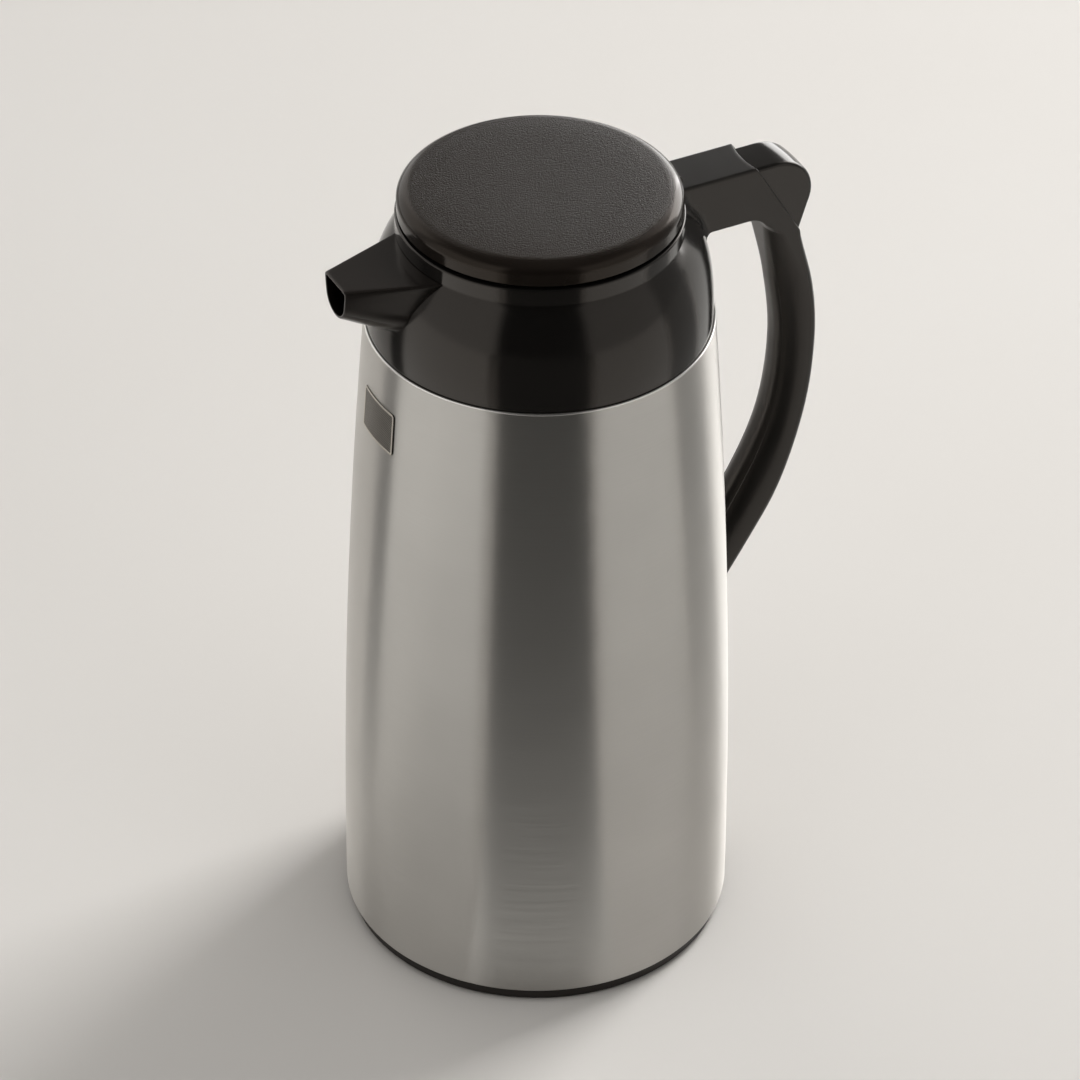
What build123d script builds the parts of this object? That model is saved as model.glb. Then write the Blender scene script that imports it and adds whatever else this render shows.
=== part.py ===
from build123d import *
import math
import os

# Thermal carafe with a flip lid: steel shell, glass liner, black shoulder, spout and handle.
# Millimetres. The origin is the centre of the foot on the table, +Z is up,
# +X points to the handle and -X to the spout.

# Fits
seam_gap = 0.05           # welded or clamped moulded pieces
slip_gap = 0.2            # pieces that slide into each other once
moving_gap = 0.3          # pieces that move past each other
pin_gap = 0.05            # pins in their holes, on the radius

# Foot and steel shell
foot_radius = 65.8
foot_height = 4.7
shell_low_radius = 67.6
shell_height = 240.1
seam_radius = 58.64
seam_height = foot_height + shell_height
shell_bow = 2.48          # how far the side swells out of a straight cone at mid height
shell_wall = 0.6
shell_turn = 1.2          # outer radius of the turned lower edge
shell_lip = 5.0           # width of the lip that turns in over the foot ring

# Base ring and base cover
foot_rim = 4.8            # width of the rim that stands on the table
foot_chamfer = 0.6
base_recess = 1.6
base_plate = 2.4
base_wall_top = 12.0
base_bead = 0.9
collar_radius = 46.8      # screw collar for the base cover, inside
collar_wall = 2.6
collar_top = 13.0
pedestal_radius = 28.7
pedestal_wall = 2.4
pedestal_top = 12.0
pedestal_edge = 2.0
grip_bar_width = 7.0

# Glass liner
glass_wall = 1.5
vacuum_gap = 3.0
liner_air_gap = 6.0       # shell to liner at the foot
seam_air_gap = 1.0        # shell to liner at the seam
cushion_height = 10.0
liner_bottom = pedestal_top + cushion_height
liner_shoulder = seam_height - 6.8
liner_top = seam_height + 5.2
liner_foot_round = 34.0
neck_radius = 31.0
neck_round = 6.0
lip_height = 1.5
tip_radius = 4.0
tip_length = 7.0
spacer_radius = 5.0
spacer_height = liner_bottom + 42.0
spacer_count = 3
cushion_hole = 7.0

# Neck gasket and bowl floor
gasket_height = 2.0
gasket_wall = 1.8
gasket_skirt = 4.0
gasket_lip = 0.6
floor_low = liner_top + gasket_height
stopper_radius = 30.0
collar_hole_radius = stopper_radius - 3.0
cone_radius = stopper_radius + 1.0
cone_height = 2.5
floor_edge = 3.0
floor_rise = 2.4

# Shoulder and rim
shoulder_wall = 2.4
shoulder_top_radius = 47.7
shoulder_top = seam_height + 34.6
shoulder_bulge_radius = 57.98
shoulder_bulge_height = seam_height + 20.4
rim_radius = 48.0
rim_low = shoulder_top + 0.7
rim_top = rim_low + 5.7
rim_inner_radius = rim_radius - 3.4
skirt_depth = 10.0
skirt_wall = 2.2

# Spout: each drop is measured down from its flat top
spout_top = shoulder_top + 0.6
spout_root_x = -45.0
spout_tip_x = -74.9
spout_root_half = 17.2
spout_tip_half = 8.0
spout_root_side = 12.7
spout_tip_side = 7.0
spout_root_side_drop = 16.0
spout_tip_side_drop = 7.5
spout_root_drop = 30.2
spout_tip_drop = 13.3
spout_root_wall = 2.2
spout_tip_wall = 1.0
spout_channel_start = 7.0
spout_channel_end = 2.0

# Lid
lid_radius = 47.4
lid_low = rim_top + 1.2
lid_height = 8.4
lid_top = lid_low + lid_height
lid_edge_round = 5.5
lid_wall = 2.0
lid_plate = 1.8
lid_plate_low = lid_low + 0.4
lid_guide_radius = rim_inner_radius - 0.7
lid_guide_low = lid_plate_low - 3.4
lid_guide_wall = 1.6

# Lid hinge
hinge_x = lid_radius - 1.4
hinge_height = lid_low + 0.6
hinge_pin_radius = 1.2
knuckle_radius = 2.6
lid_knuckle_half = 5.0
knuckle_room = 3.9
hinge_room_depth = 2.5
hinge_room_half = 12.0
ear_width = 3.5
rear_rim_top = hinge_height - knuckle_radius - 2 * moving_gap
rear_notch_half = 17.0
ear_low = rear_rim_top - 1.8

# Stopper
stopper_wall = 2.4
stopper_low = floor_low + 4.2
stopper_top = lid_plate_low - 6.4
stopper_hub_radius = stopper_radius - 5.6
stopper_hub_height = 3.0
stopper_floor = 2.0
port_radius = 15.0
tube_wall = 2.0
tube_low = stopper_low + 13.8
window_low = stopper_low + 5.8
window_top = window_low + 7.5
window_depth = 5.0
window_count = 3
window_pitch = 48.0
window_width = 17.0
bridge_height = stopper_low + 19.8
bridge_thickness = 2.5
bridge_half = 7.0

# Valve
stem_radius = 1.6
stem_head_radius = 3.5
stem_head_height = 1.5
plug_radius = 18.5
plug_height = 2.0
plug_boss_height = 2.5
valve_gasket_inner = 12.0
valve_gasket_radius = 18.0
valve_gasket_height = 1.5
valve_spring_radius = 5.5
valve_spring_wire = 0.5
valve_spring_turns = 6
valve_seat = stopper_low + stopper_floor
plug_low = valve_seat + moving_gap + valve_gasket_height

# Handle
handle_half = 9.35
handle_wall = 2.2
head_wall = 1.0
arm_top = rear_rim_top
arm_low = arm_top - 20.4
arm_start_x = rim_radius - 8.0
arm_edge_round = 1.2
arm_corner_x = 74.6
arm_corner_radius = 8.3
corner_wall = 1.9
grip_start_angle = 76.8
parting_top_x = 76.3
parting_low_x = 94.8
parting_low_height = arm_top - 28.0
grip_edge_round = 4.6
# Points of the grip's two sides as (x, distance below the arm's underside)
grip_outer = [(101.3, 32.7), (102.8, 56.0), (99.8, 84.0), (90.6, 113.8), (77.2, 137.0), (60.0, 162.5)]
grip_inner = [(88.0, 30.0), (91.3, 56.5), (87.7, 86.5), (75.8, 113.3), (57.0, 142.5)]
grip_inner_round = 3.6
cover_thickness = 2.0
cover_half = 5.6
cover_ledge = 0.8
cover_top = arm_low - 20.0
cover_low = arm_low - 123.0
head_floor = parting_low_height - 2.9
head_floor_wall = 1.9
pocket_front_x = 68.0
foot_screw_height = arm_low - 129.0

# Push rod
rod_height = arm_low + 8.5
rod_radius = 2.4
rod_fit = 0.08            # running fit of the rod in its guides, on the radius
rod_tip_x = stopper_radius + 2 * moving_gap
rod_end_x = 77.0
rod_disc_radius = 4.6
rod_disc_thickness = 1.6
rod_guide_x = 58.0
rod_guide_thickness = 2.0
bushing_start_x = 38.0
bushing_end_x = 49.2
bushing_wall = 1.8
rod_collar_x = 70.4
rod_spring_radius = 3.6
rod_spring_wire = 0.45
rod_spring_turns = 7
rear_slot_low = rod_height - 4.5
rear_slot_depth = 8.0

# Rocker in the lid
rocker_x = stopper_radius - 6.0
rocker_pin_radius = 1.5
rocker_pin_half = 12.0
rocker_thickness = 2.4
rocker_half = 4.0
rocker_nose_radius = 2.0
rocker_boss_radius = 3.2
rocker_height = lid_plate_low - rocker_boss_radius
rocker_nose_x = rod_tip_x - moving_gap - rocker_nose_radius
rocker_tip_radius = 1.2
rocker_slot_half = 2.1
rocker_slot_end = 2.2

# Thumb lever
lever_half = handle_half - head_wall - moving_gap
lever_wall = 1.8
lever_top = arm_top - 1.1
lever_round_x = 85.0
lever_round = 13.2
lever_tip_x = 93.7
lever_tip_height = parting_low_height - 0.5
lever_tip_edge = 0.7
lever_tuck = 2.0          # how far the front of the lever reaches under the arm
lever_tuck_extra = 0.6
lever_hollow_reach = 12.0
lever_round_end = -20.0   # where the rounded end of the lever runs out, degrees
lever_edge_round = 1.0
lever_pin_x = 87.4
lever_pin_height = lever_tip_height + 4.3
lever_pin_radius = 1.4
lever_pin_half = lever_half + 0.15
lever_boss_radius = 2.9
lever_boss_half = 5.0
lever_web_half = 2.0
lever_nose_radius = 2.0
lever_nose_x = rod_end_x + moving_gap + lever_nose_radius
lever_nose_half = 4.0

# Screws and washer
screw_radius = 1.2
screw_head_radius = 2.6
screw_head_height = 1.5
upper_screw_y = 4.9
upper_screw_height = arm_top - 4.7
upper_screw_length = 12.0
upper_screw_start_x = rim_inner_radius - 0.9
lower_screw_radius = 1.6
lower_screw_head_radius = 3.4
lower_screw_length = 12.0
washer_radius = 6.0
washer_thickness = 1.0
driver_depth = 0.8
driver_half = 0.45

# Plate under the spout
badge_width = 21.2
badge_low = seam_height - 32.3
badge_high = badge_low + 15.9
badge_thickness = 0.5
badge_corner = 1.2
badge_glue = 0.1

through = 200.0           # longer than any piece, for cuts that run right through


def revolved(*points):
    """Solid turned about the Z axis from a closed outline of (radius, height) points."""
    return revolve(Plane.XZ * make_face(Polyline(*points, close=True)), Axis.Z)


def ring(inner, outer, low, high):
    return revolved((inner, low), (outer, low), (outer, high), (inner, high))


def disc(radius, low, high):
    return Pos(0, 0, (low + high) / 2) * Cylinder(radius, high - low)


def bar_x(radius, start, end, height, y=0.0):
    """Round bar along X."""
    return Pos((start + end) / 2, y, height) * Rot(0, 90, 0) * Cylinder(radius, end - start)


def bar_y(radius, low, high, x, height):
    """Round bar along Y."""
    return Pos(x, (low + high) / 2, height) * Rot(90, 0, 0) * Cylinder(radius, high - low)


def block(x0, x1, y0, y1, z0, z1):
    return Pos((x0 + x1) / 2, (y0 + y1) / 2, (z0 + z1) / 2) * Box(x1 - x0, y1 - y0, z1 - z0)


def across(outline, half):
    """Outline in the XZ plane made as thick as 2 * half, centred on Y."""
    return extrude(Plane.XZ * make_face(outline), amount=half, both=True)


def spring_x(radius, wire, turns, start, end, height):
    coil = Helix(pitch=(end - start - 2 * wire) / turns, height=end - start - 2 * wire, radius=radius)
    section = Plane(coil @ 0, z_dir=coil % 0) * Circle(wire)
    return Pos(start + wire, 0, height) * Rot(0, 90, 0) * sweep(section, path=coil)


def spring_z(radius, wire, turns, low, high):
    coil = Helix(pitch=(high - low - 2 * wire) / turns, height=high - low - 2 * wire, radius=radius)
    section = Plane(coil @ 0, z_dir=coil % 0) * Circle(wire)
    return Pos(0, 0, low + wire) * sweep(section, path=coil)


# --- steel shell and foot -------------------------------------------------

def shell_side(inset):
    """The bellied side of the shell, from the turned lower edge to the seam."""
    mid_radius = (shell_low_radius + seam_radius) / 2 + shell_bow
    return ThreePointArc(
        (shell_low_radius - inset, foot_height + shell_turn),
        (mid_radius - inset, (foot_height + seam_height) / 2),
        (seam_radius - inset, seam_height),
    )


def shell_form(grow=0.0):
    """Solid of the shell's outer form, grown outwards."""
    side = shell_side(-grow)
    low_corner = (shell_low_radius + grow, foot_height)
    outline = side + Polyline(side @ 1, (0, seam_height), (0, foot_height), low_corner, side @ 0)
    return revolve(Plane.XZ * make_face(outline), Axis.Z)


def make_steel_shell():
    turn_centre_x = shell_low_radius - shell_turn
    turn_centre_z = foot_height + shell_turn
    inner_turn = shell_turn - shell_wall
    outer = shell_side(0.0)
    inner = shell_side(shell_wall)
    lip_x = shell_low_radius - shell_lip
    outline = [
        Line((lip_x, foot_height), (turn_centre_x, foot_height)),
        CenterArc((turn_centre_x, turn_centre_z), shell_turn, -90, 90),
        outer,
        Line(outer @ 1, inner @ 1),
        inner,
        CenterArc((turn_centre_x, turn_centre_z), inner_turn, -90, 90),
        Line((turn_centre_x, foot_height + shell_wall), (lip_x, foot_height + shell_wall)),
        Line((lip_x, foot_height + shell_wall), (lip_x, foot_height)),
    ]
    shell = revolve(Plane.XZ * make_face(outline), Axis.Z)
    return shell - bar_x(lower_screw_radius + slip_gap, 0, through, foot_screw_height)


def make_base_ring():
    wall_outer = shell_low_radius - shell_lip - moving_gap
    wall_inner = wall_outer - collar_wall
    bead = base_bead
    bead_low = foot_height + shell_wall + moving_gap
    return revolved(
        (foot_radius - foot_rim, 0),
        (foot_radius - foot_chamfer, 0),
        (foot_radius, foot_chamfer),
        (foot_radius, foot_height),
        (wall_outer, foot_height),
        (wall_outer, bead_low),
        (wall_outer + bead, bead_low),
        (wall_outer + bead, bead_low + bead),
        (wall_outer, bead_low + 2 * bead),
        (wall_outer, base_wall_top),
        (wall_inner, base_wall_top),
        (wall_inner, base_recess + base_plate),
        (collar_radius + collar_wall, base_recess + base_plate),
        (collar_radius + collar_wall, collar_top),
        (collar_radius, collar_top),
        (collar_radius, base_recess),
        (foot_radius - foot_rim, base_recess),
    )


def make_base_cover():
    outer = collar_radius - slip_gap
    plate_top = base_recess + base_plate
    cover = revolved(
        (0, pedestal_top - pedestal_wall),
        (0, pedestal_top),
        (pedestal_radius - pedestal_wall, pedestal_top),
        (pedestal_radius - pedestal_wall, pedestal_top + pedestal_edge),
        (pedestal_radius, pedestal_top + pedestal_edge),
        (pedestal_radius, plate_top),
        (outer - collar_wall, plate_top),
        (outer - collar_wall, collar_top),
        (outer, collar_top),
        (outer, base_recess),
        (pedestal_radius - pedestal_wall, base_recess),
        (pedestal_radius - pedestal_wall, pedestal_top - pedestal_wall),
    )
    grip_reach = pedestal_radius - pedestal_wall / 2
    grip_half = grip_bar_width / 2
    bar_top = pedestal_top - pedestal_wall / 2
    return cover + block(-grip_reach, grip_reach, -grip_half, grip_half, base_recess, bar_top)


def make_liner_cushion():
    return ring(cushion_hole, pedestal_radius - pedestal_wall - slip_gap, pedestal_top, liner_bottom)


# --- glass liner ----------------------------------------------------------

def flask(inset, top):
    """Closed form of the liner, shrunk by inset, up to the given height."""
    low_radius = shell_low_radius - shell_wall - liner_air_gap - inset
    high_radius = seam_radius - shell_wall - seam_air_gap - inset
    neck = neck_radius - inset
    shoulder_round = high_radius - neck - neck_round - inset - seam_air_gap / 2
    side = FilletPolyline(
        (0, liner_bottom + inset),
        (low_radius, liner_bottom + inset),
        (high_radius, liner_shoulder - inset),
        (neck, liner_shoulder - inset),
        (neck, top),
        radius=[liner_foot_round - inset, shoulder_round, neck_round + inset],
    )
    outline = side + Polyline(side @ 1, (0, top), (0, liner_bottom + inset))
    return revolve(Plane.XZ * make_face(outline), Axis.Z)


def make_liner_outer_glass():
    wall_top = liner_top - lip_height
    wall = flask(0.0, wall_top) - flask(glass_wall, wall_top + glass_wall)
    inner_neck = neck_radius - 2 * glass_wall - vacuum_gap
    lip_round = 0.9 * lip_height
    lip = ring(inner_neck, neck_radius, wall_top, liner_top)
    lip = fillet(lip.edges().filter_by(GeomType.CIRCLE).group_by(Axis.Z)[-1], lip_round)
    tip = disc(tip_radius, liner_bottom - tip_length + tip_radius, liner_bottom + glass_wall / 2)
    tip += Pos(0, 0, liner_bottom - tip_length + tip_radius) * Sphere(tip_radius)
    return wall + lip + tip


def make_liner_inner_glass():
    wall_top = liner_top - lip_height
    inner_inset = 2 * glass_wall + vacuum_gap
    return flask(glass_wall + vacuum_gap, wall_top) - flask(inner_inset, wall_top + glass_wall)


def make_liner_spacers():
    """Pads in the vacuum between the two flasks."""
    low_radius = shell_low_radius - shell_wall - liner_air_gap
    high_radius = seam_radius - shell_wall - seam_air_gap
    share = (spacer_height - liner_bottom) / (liner_shoulder - liner_bottom)
    wall_radius = low_radius + (high_radius - low_radius) * share - glass_wall
    inner_end = wall_radius - vacuum_gap + slip_gap
    pad = bar_x(spacer_radius, inner_end, wall_radius - 2 * slip_gap, spacer_height)
    pads = [Rot(0, 0, 60 + i * 360 / spacer_count) * pad for i in range(spacer_count)]
    return Compound(children=[p.solid() for p in pads])


def make_neck_gasket():
    top = liner_top + gasket_height
    inner = neck_radius - 2 * glass_wall - vacuum_gap + gasket_lip
    skirt_inner = neck_radius + slip_gap
    return revolved(
        (inner, liner_top),
        (skirt_inner, liner_top),
        (skirt_inner, liner_top - gasket_skirt),
        (skirt_inner + gasket_wall, liner_top - gasket_skirt),
        (skirt_inner + gasket_wall, top),
        (inner, top),
    )


# --- shoulder and spout ---------------------------------------------------

def shoulder_form(grow=0.0):
    """Outer form of the shoulder with its rim band, grown outwards."""
    side = Bezier(
        (seam_radius + grow, seam_height),
        (seam_radius + grow, seam_height + 0.5),
        (shoulder_bulge_radius + grow, shoulder_bulge_height),
        (shoulder_top_radius + grow, shoulder_top),
    )
    rest = Polyline(
        side @ 1,
        (shoulder_top_radius + grow, rim_low),
        (rim_radius + grow, rim_low),
        (rim_radius + grow, rim_top),
        (0, rim_top),
        (0, seam_height),
        side @ 0,
    )
    return revolve(Plane.XZ * make_face(side + rest), Axis.Z)


def bowl_form(inset=0.0):
    """Hollow of the shoulder, from the seam up through the rim, shrunk by inset."""
    wall = shoulder_wall + inset
    side = Bezier(
        (seam_radius - wall, seam_height),
        (seam_radius - wall, seam_height + 0.5),
        (shoulder_bulge_radius - wall, shoulder_bulge_height - shoulder_wall / 2),
        (rim_inner_radius - inset, shoulder_top - shoulder_wall / 2),
    )
    rest = Polyline(
        side @ 1,
        (rim_inner_radius, rim_top + 1),
        (0, rim_top + 1),
        (0, seam_height),
        side @ 0,
    )
    return revolve(Plane.XZ * make_face(side + rest), Axis.Z)


def make_bowl_floor():
    """Sloping floor of the pouring bowl, with the cone that the stopper closes on."""
    edge = seam_radius
    top = floor_low + cone_height
    floor = revolved(
        (collar_hole_radius, floor_low),
        (cone_radius + floor_edge, floor_low),
        (edge, floor_low + floor_rise),
        (edge, top + floor_rise),
        (cone_radius + floor_edge / 2, top),
        (cone_radius, top),
    )
    return floor & bowl_form(seam_gap)


def spout_section(x, inset):
    """Flat-topped U section of the spout at x, shrunk by inset."""
    share = (x - spout_root_x) / (spout_tip_x - spout_root_x)

    def between(root, tip):
        return root + (tip - root) * share

    half = between(spout_root_half, spout_tip_half) - inset
    side = between(spout_root_side, spout_tip_side) - inset
    side_height = spout_top - between(spout_root_side_drop, spout_tip_side_drop)
    bottom = spout_top - between(spout_root_drop, spout_tip_drop) + inset
    top = spout_top - inset
    outline = [
        Line((-half, top), (half, top)),
        Line((half, top), (side, side_height)),
        ThreePointArc((side, side_height), (0, bottom), (-side, side_height)),
        Line((-side, side_height), (-half, top)),
    ]
    plane = Plane(origin=(x, 0, 0), x_dir=(0, 1, 0), z_dir=(1, 0, 0))
    return plane * make_face(outline)


def spout_channel():
    """Hollow through the spout, open into the bowl and past the tip."""
    start = spout_root_x + spout_channel_start
    end = spout_tip_x - spout_channel_end
    return loft([spout_section(start, spout_root_wall), spout_section(end, spout_tip_wall)], ruled=True)


def make_spout():
    body = loft([spout_section(spout_root_x, 0.0), spout_section(spout_tip_x, 0.0)], ruled=True)
    return body - spout_channel() - shoulder_form(seam_gap)


def hinge_ears():
    reach = lid_knuckle_half + moving_gap
    foot_end = math.sqrt(rim_radius**2 - (reach + ear_width) ** 2)
    ears = None
    for side in (-1, 1):
        low, high = sorted((side * reach, side * (reach + ear_width)))
        foot = block(hinge_x - knuckle_radius, foot_end, low, high, ear_low, hinge_height)
        ear = foot + bar_y(knuckle_radius, low, high, hinge_x, hinge_height)
        ears = ear if ears is None else ears + ear
    return ears - bar_y(hinge_pin_radius + pin_gap, -through, through, hinge_x, hinge_height)


def bushing_form(grow=0.0):
    radius = rod_radius + rod_fit + bushing_wall
    return bar_x(radius + grow, bushing_start_x, bushing_end_x + grow, rod_height)


def make_rod_bushing():
    return bushing_form() - bar_x(rod_radius + rod_fit, 0, through, rod_height)


def make_shoulder():
    shoulder = shoulder_form() - bowl_form() - spout_channel()
    skirt_outer = seam_radius - shell_wall - slip_gap
    shoulder += ring(skirt_outer - skirt_wall, skirt_outer, seam_height - skirt_depth, seam_height + 1)
    half = rear_notch_half
    shoulder -= block(0, rim_radius + 1, -half, half, rear_rim_top, rim_top + 1)
    shoulder += hinge_ears()
    shoulder -= bushing_form(seam_gap)
    shoulder -= bar_x(rod_radius + rod_fit, 0, through, rod_height)
    for side in (-1, 1):
        shoulder -= bar_x(screw_radius + slip_gap, 0, through, upper_screw_height, side * upper_screw_y)
    return shoulder


# --- handle ---------------------------------------------------------------

def moved(points, distance):
    """Points of a curve shifted sideways, to the left of its direction for a positive distance."""
    shifted = []
    for i, (x, z) in enumerate(points):
        x0, z0 = points[max(i - 1, 0)]
        x1, z1 = points[min(i + 1, len(points) - 1)]
        length = math.hypot(x1 - x0, z1 - z0)
        shifted.append((x - (z1 - z0) / length * distance, z + (x1 - x0) / length * distance))
    return shifted


def below_arm(points):
    return [(x, arm_low - drop) for x, drop in points]


def grip_outer_curve(inset=0.0):
    points = moved([(parting_low_x, parting_low_height), *below_arm(grip_outer)], -inset)
    return Spline(*points)


def arm_corner():
    centre = (arm_corner_x, arm_low - arm_corner_radius)
    return CenterArc(centre, arm_corner_radius, 90, -grip_start_angle)


def grip_inner_curve(inset=0.0):
    start = arm_corner() @ 1
    points = [(start.X, start.Y), *below_arm(grip_inner)]
    (x0, z0), (x1, z1) = points[-2:]
    tangents = [arm_corner() % 1, (x1 - x0, z1 - z0)]
    return Spline(*moved(points, inset), tangents=tangents)


def handle_outline():
    outer = grip_outer_curve()
    inner = grip_inner_curve()
    corner = arm_corner()
    arm = Polyline(
        corner @ 0,
        (arm_start_x, arm_low),
        (arm_start_x, arm_top),
        (parting_top_x, arm_top),
        outer @ 0,
    )
    return [arm, outer, Line(outer @ 1, inner @ 1), inner, corner]


def edges_along(solid, curve, half):
    """Edges of the two flat sides at Y = -half and half that follow a curve of the outline."""
    found = []
    for edge in solid.edges():
        middle = edge @ 0.5
        on_side = abs(abs(middle.Y) - half) < 1e-4
        if on_side and curve.distance_to(Vertex(middle.X, middle.Z, 0)) < 1e-3:
            found.append(edge)
    return found


def handle_form():
    form = across(handle_outline(), handle_half)
    form = fillet(edges_along(form, grip_outer_curve(), handle_half), grip_edge_round)
    underside = Line((arm_start_x, arm_low), (arm_corner_x, arm_low))
    inner_edges = edges_along(form, grip_inner_curve(), handle_half)
    inner_edges += edges_along(form, arm_corner(), handle_half)
    inner_edges += edges_along(form, underside, handle_half)
    form = fillet(inner_edges, grip_inner_round)
    top = Line((arm_start_x, arm_top), (parting_top_x, arm_top))
    return fillet(edges_along(form, top, handle_half), arm_edge_round)


def between_curves(first, second, half):
    """Strip between two curves that run the same way, as a solid."""
    return across([first, Line(first @ 1, second @ 1), second, Line(second @ 0, first @ 0)], half)


def height_band(low, high):
    return block(0, through, -handle_half, handle_half, low, high)


def grip_cavity():
    outer = grip_outer_curve(handle_wall)
    inner = grip_inner_curve(cover_thickness)
    return between_curves(outer, inner, cover_half - cover_ledge) & height_band(cover_low, head_floor)


def cover_strip(depth, grow):
    strip = between_curves(grip_inner_curve(-grow), grip_inner_curve(depth), cover_half + grow)
    return strip & height_band(cover_low - grow, cover_top + grow)


def head_pocket():
    """Room for the thumb lever in the end of the arm."""
    ceiling = lever_top + moving_gap
    floor = head_floor + head_floor_wall
    left = lever_pin_x - lever_boss_radius - moving_gap
    centre = (arm_corner_x, arm_low - arm_corner_radius)
    corner = CenterArc(centre, arm_corner_radius + corner_wall, 90, -70)
    outline = [
        Polyline(
            corner @ 0,
            (pocket_front_x, arm_low + corner_wall),
            (pocket_front_x, ceiling),
            (through, ceiling),
            (through, floor),
            (left, floor),
            corner @ 1,
        ),
        corner,
    ]
    return across(outline, handle_half - head_wall)


def lever_pin_seats():
    seats = None
    for side in (-1, 1):
        low, high = sorted((side * (lever_boss_half + moving_gap), side * (handle_half - head_wall / 2)))
        seat = bar_y(lever_boss_radius, low, high, lever_pin_x, lever_pin_height)
        seats = seat if seats is None else seats + seat
    reach = lever_pin_half + pin_gap
    return seats - bar_y(lever_pin_radius + pin_gap, -reach, reach, lever_pin_x, lever_pin_height)


def arm_tunnel():
    """Hollow of the arm, less the rod guide and the two screw blocks."""
    half = handle_half - handle_wall
    low, high = arm_low + handle_wall, arm_top - handle_wall
    tunnel = block(arm_start_x, pocket_front_x + 1, -half, half, low, high)
    guide_end = rod_guide_x + rod_guide_thickness
    tunnel -= block(rod_guide_x, guide_end, -half, half, low, high)
    tunnel += bar_x(rod_radius + rod_fit, rod_guide_x - 1, guide_end + 1, rod_height)
    for side in (-1, 1):
        y0, y1 = sorted((side * (upper_screw_y - screw_head_radius), side * half))
        y = side * upper_screw_y
        hole_end = upper_screw_start_x + upper_screw_length + slip_gap
        tunnel -= block(arm_start_x, rod_guide_x, y0, y1, upper_screw_height - screw_head_radius, high)
        tunnel += bar_x(screw_radius + slip_gap, arm_start_x, hole_end, upper_screw_height, y)
    return tunnel


def make_handle():
    handle = handle_form() - shoulder_form(seam_gap) - shell_form(seam_gap)
    handle -= arm_tunnel()
    handle -= head_pocket()
    handle += lever_pin_seats()
    handle -= grip_cavity()
    handle -= cover_strip(cover_thickness + slip_gap, slip_gap)
    screw_end = shell_inner_x(foot_screw_height) - washer_thickness + lower_screw_length + slip_gap
    return handle - bar_x(lower_screw_radius + slip_gap, 0, screw_end, foot_screw_height)


def make_handle_cover():
    return cover_strip(cover_thickness, 0.0)


def shell_inner_x(height):
    """Where a flat washer lies inside the shell at this height, on the handle side."""
    side = shell_side(shell_wall + slip_gap)
    centre = side.arc_center
    radius = centre.X + math.sqrt(side.radius**2 - (height - centre.Y) ** 2)
    return math.sqrt(radius**2 - washer_radius**2)


def make_lower_washer():
    seat = shell_inner_x(foot_screw_height)
    washer = bar_x(washer_radius, seat - washer_thickness, seat, foot_screw_height)
    return washer - bar_x(lower_screw_radius + slip_gap, 0, through, foot_screw_height)


def make_lower_screw():
    seat = shell_inner_x(foot_screw_height) - washer_thickness
    head = bar_x(lower_screw_head_radius, seat - screw_head_height, seat, foot_screw_height)
    head -= across_slot(seat - screw_head_height, lower_screw_head_radius, foot_screw_height, 0.0)
    return head + bar_x(lower_screw_radius, seat, seat + lower_screw_length, foot_screw_height)


def across_slot(face_x, reach, height, y):
    """Driver cross in a screw head that faces -X."""
    start, end = face_x - driver_depth, face_x + driver_depth
    half = driver_half
    arm = 0.7 * reach
    flat = block(start, end, y - arm, y + arm, height - half, height + half)
    upright = block(start, end, y - half, y + half, height - arm, height + arm)
    return flat + upright


def make_upper_screws():
    screws = []
    for side in (-1, 1):
        y = side * upper_screw_y
        start = upper_screw_start_x
        head = bar_x(screw_head_radius, start - screw_head_height, start, upper_screw_height, y)
        head -= across_slot(start - screw_head_height, screw_head_radius, upper_screw_height, y)
        shank = bar_x(screw_radius, start, start + upper_screw_length, upper_screw_height, y)
        screws.append((head + shank).solid())
    return Compound(children=screws)


# --- thumb lever and push rod ---------------------------------------------

def parting_x(height):
    """X of the line where the arm ends and the lever shows, at a height."""
    share = (arm_top - height) / (arm_top - parting_low_height)
    return parting_top_x + share * (parting_low_x - parting_top_x)


def lever_outline(inset, front_shift):
    """Side view of the lever's skin, shrunk by inset, with its front edge shifted forwards."""
    front_height = lever_tip_height + lever_tip_edge
    top_x = parting_x(lever_top) - lever_tuck - front_shift
    low_x = parting_x(front_height) - lever_tuck - lever_tuck_extra - front_shift
    top = Line((top_x, lever_top - inset), (lever_round_x, lever_top - inset))
    end = CenterArc((lever_round_x, lever_top - lever_round), lever_round - inset, 90, lever_round_end - 90)
    tip = (lever_tip_x - inset, lever_tip_height + inset)
    return [top, end, Polyline(end @ 1, tip, (low_x, front_height + inset), top @ 0)]


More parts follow.
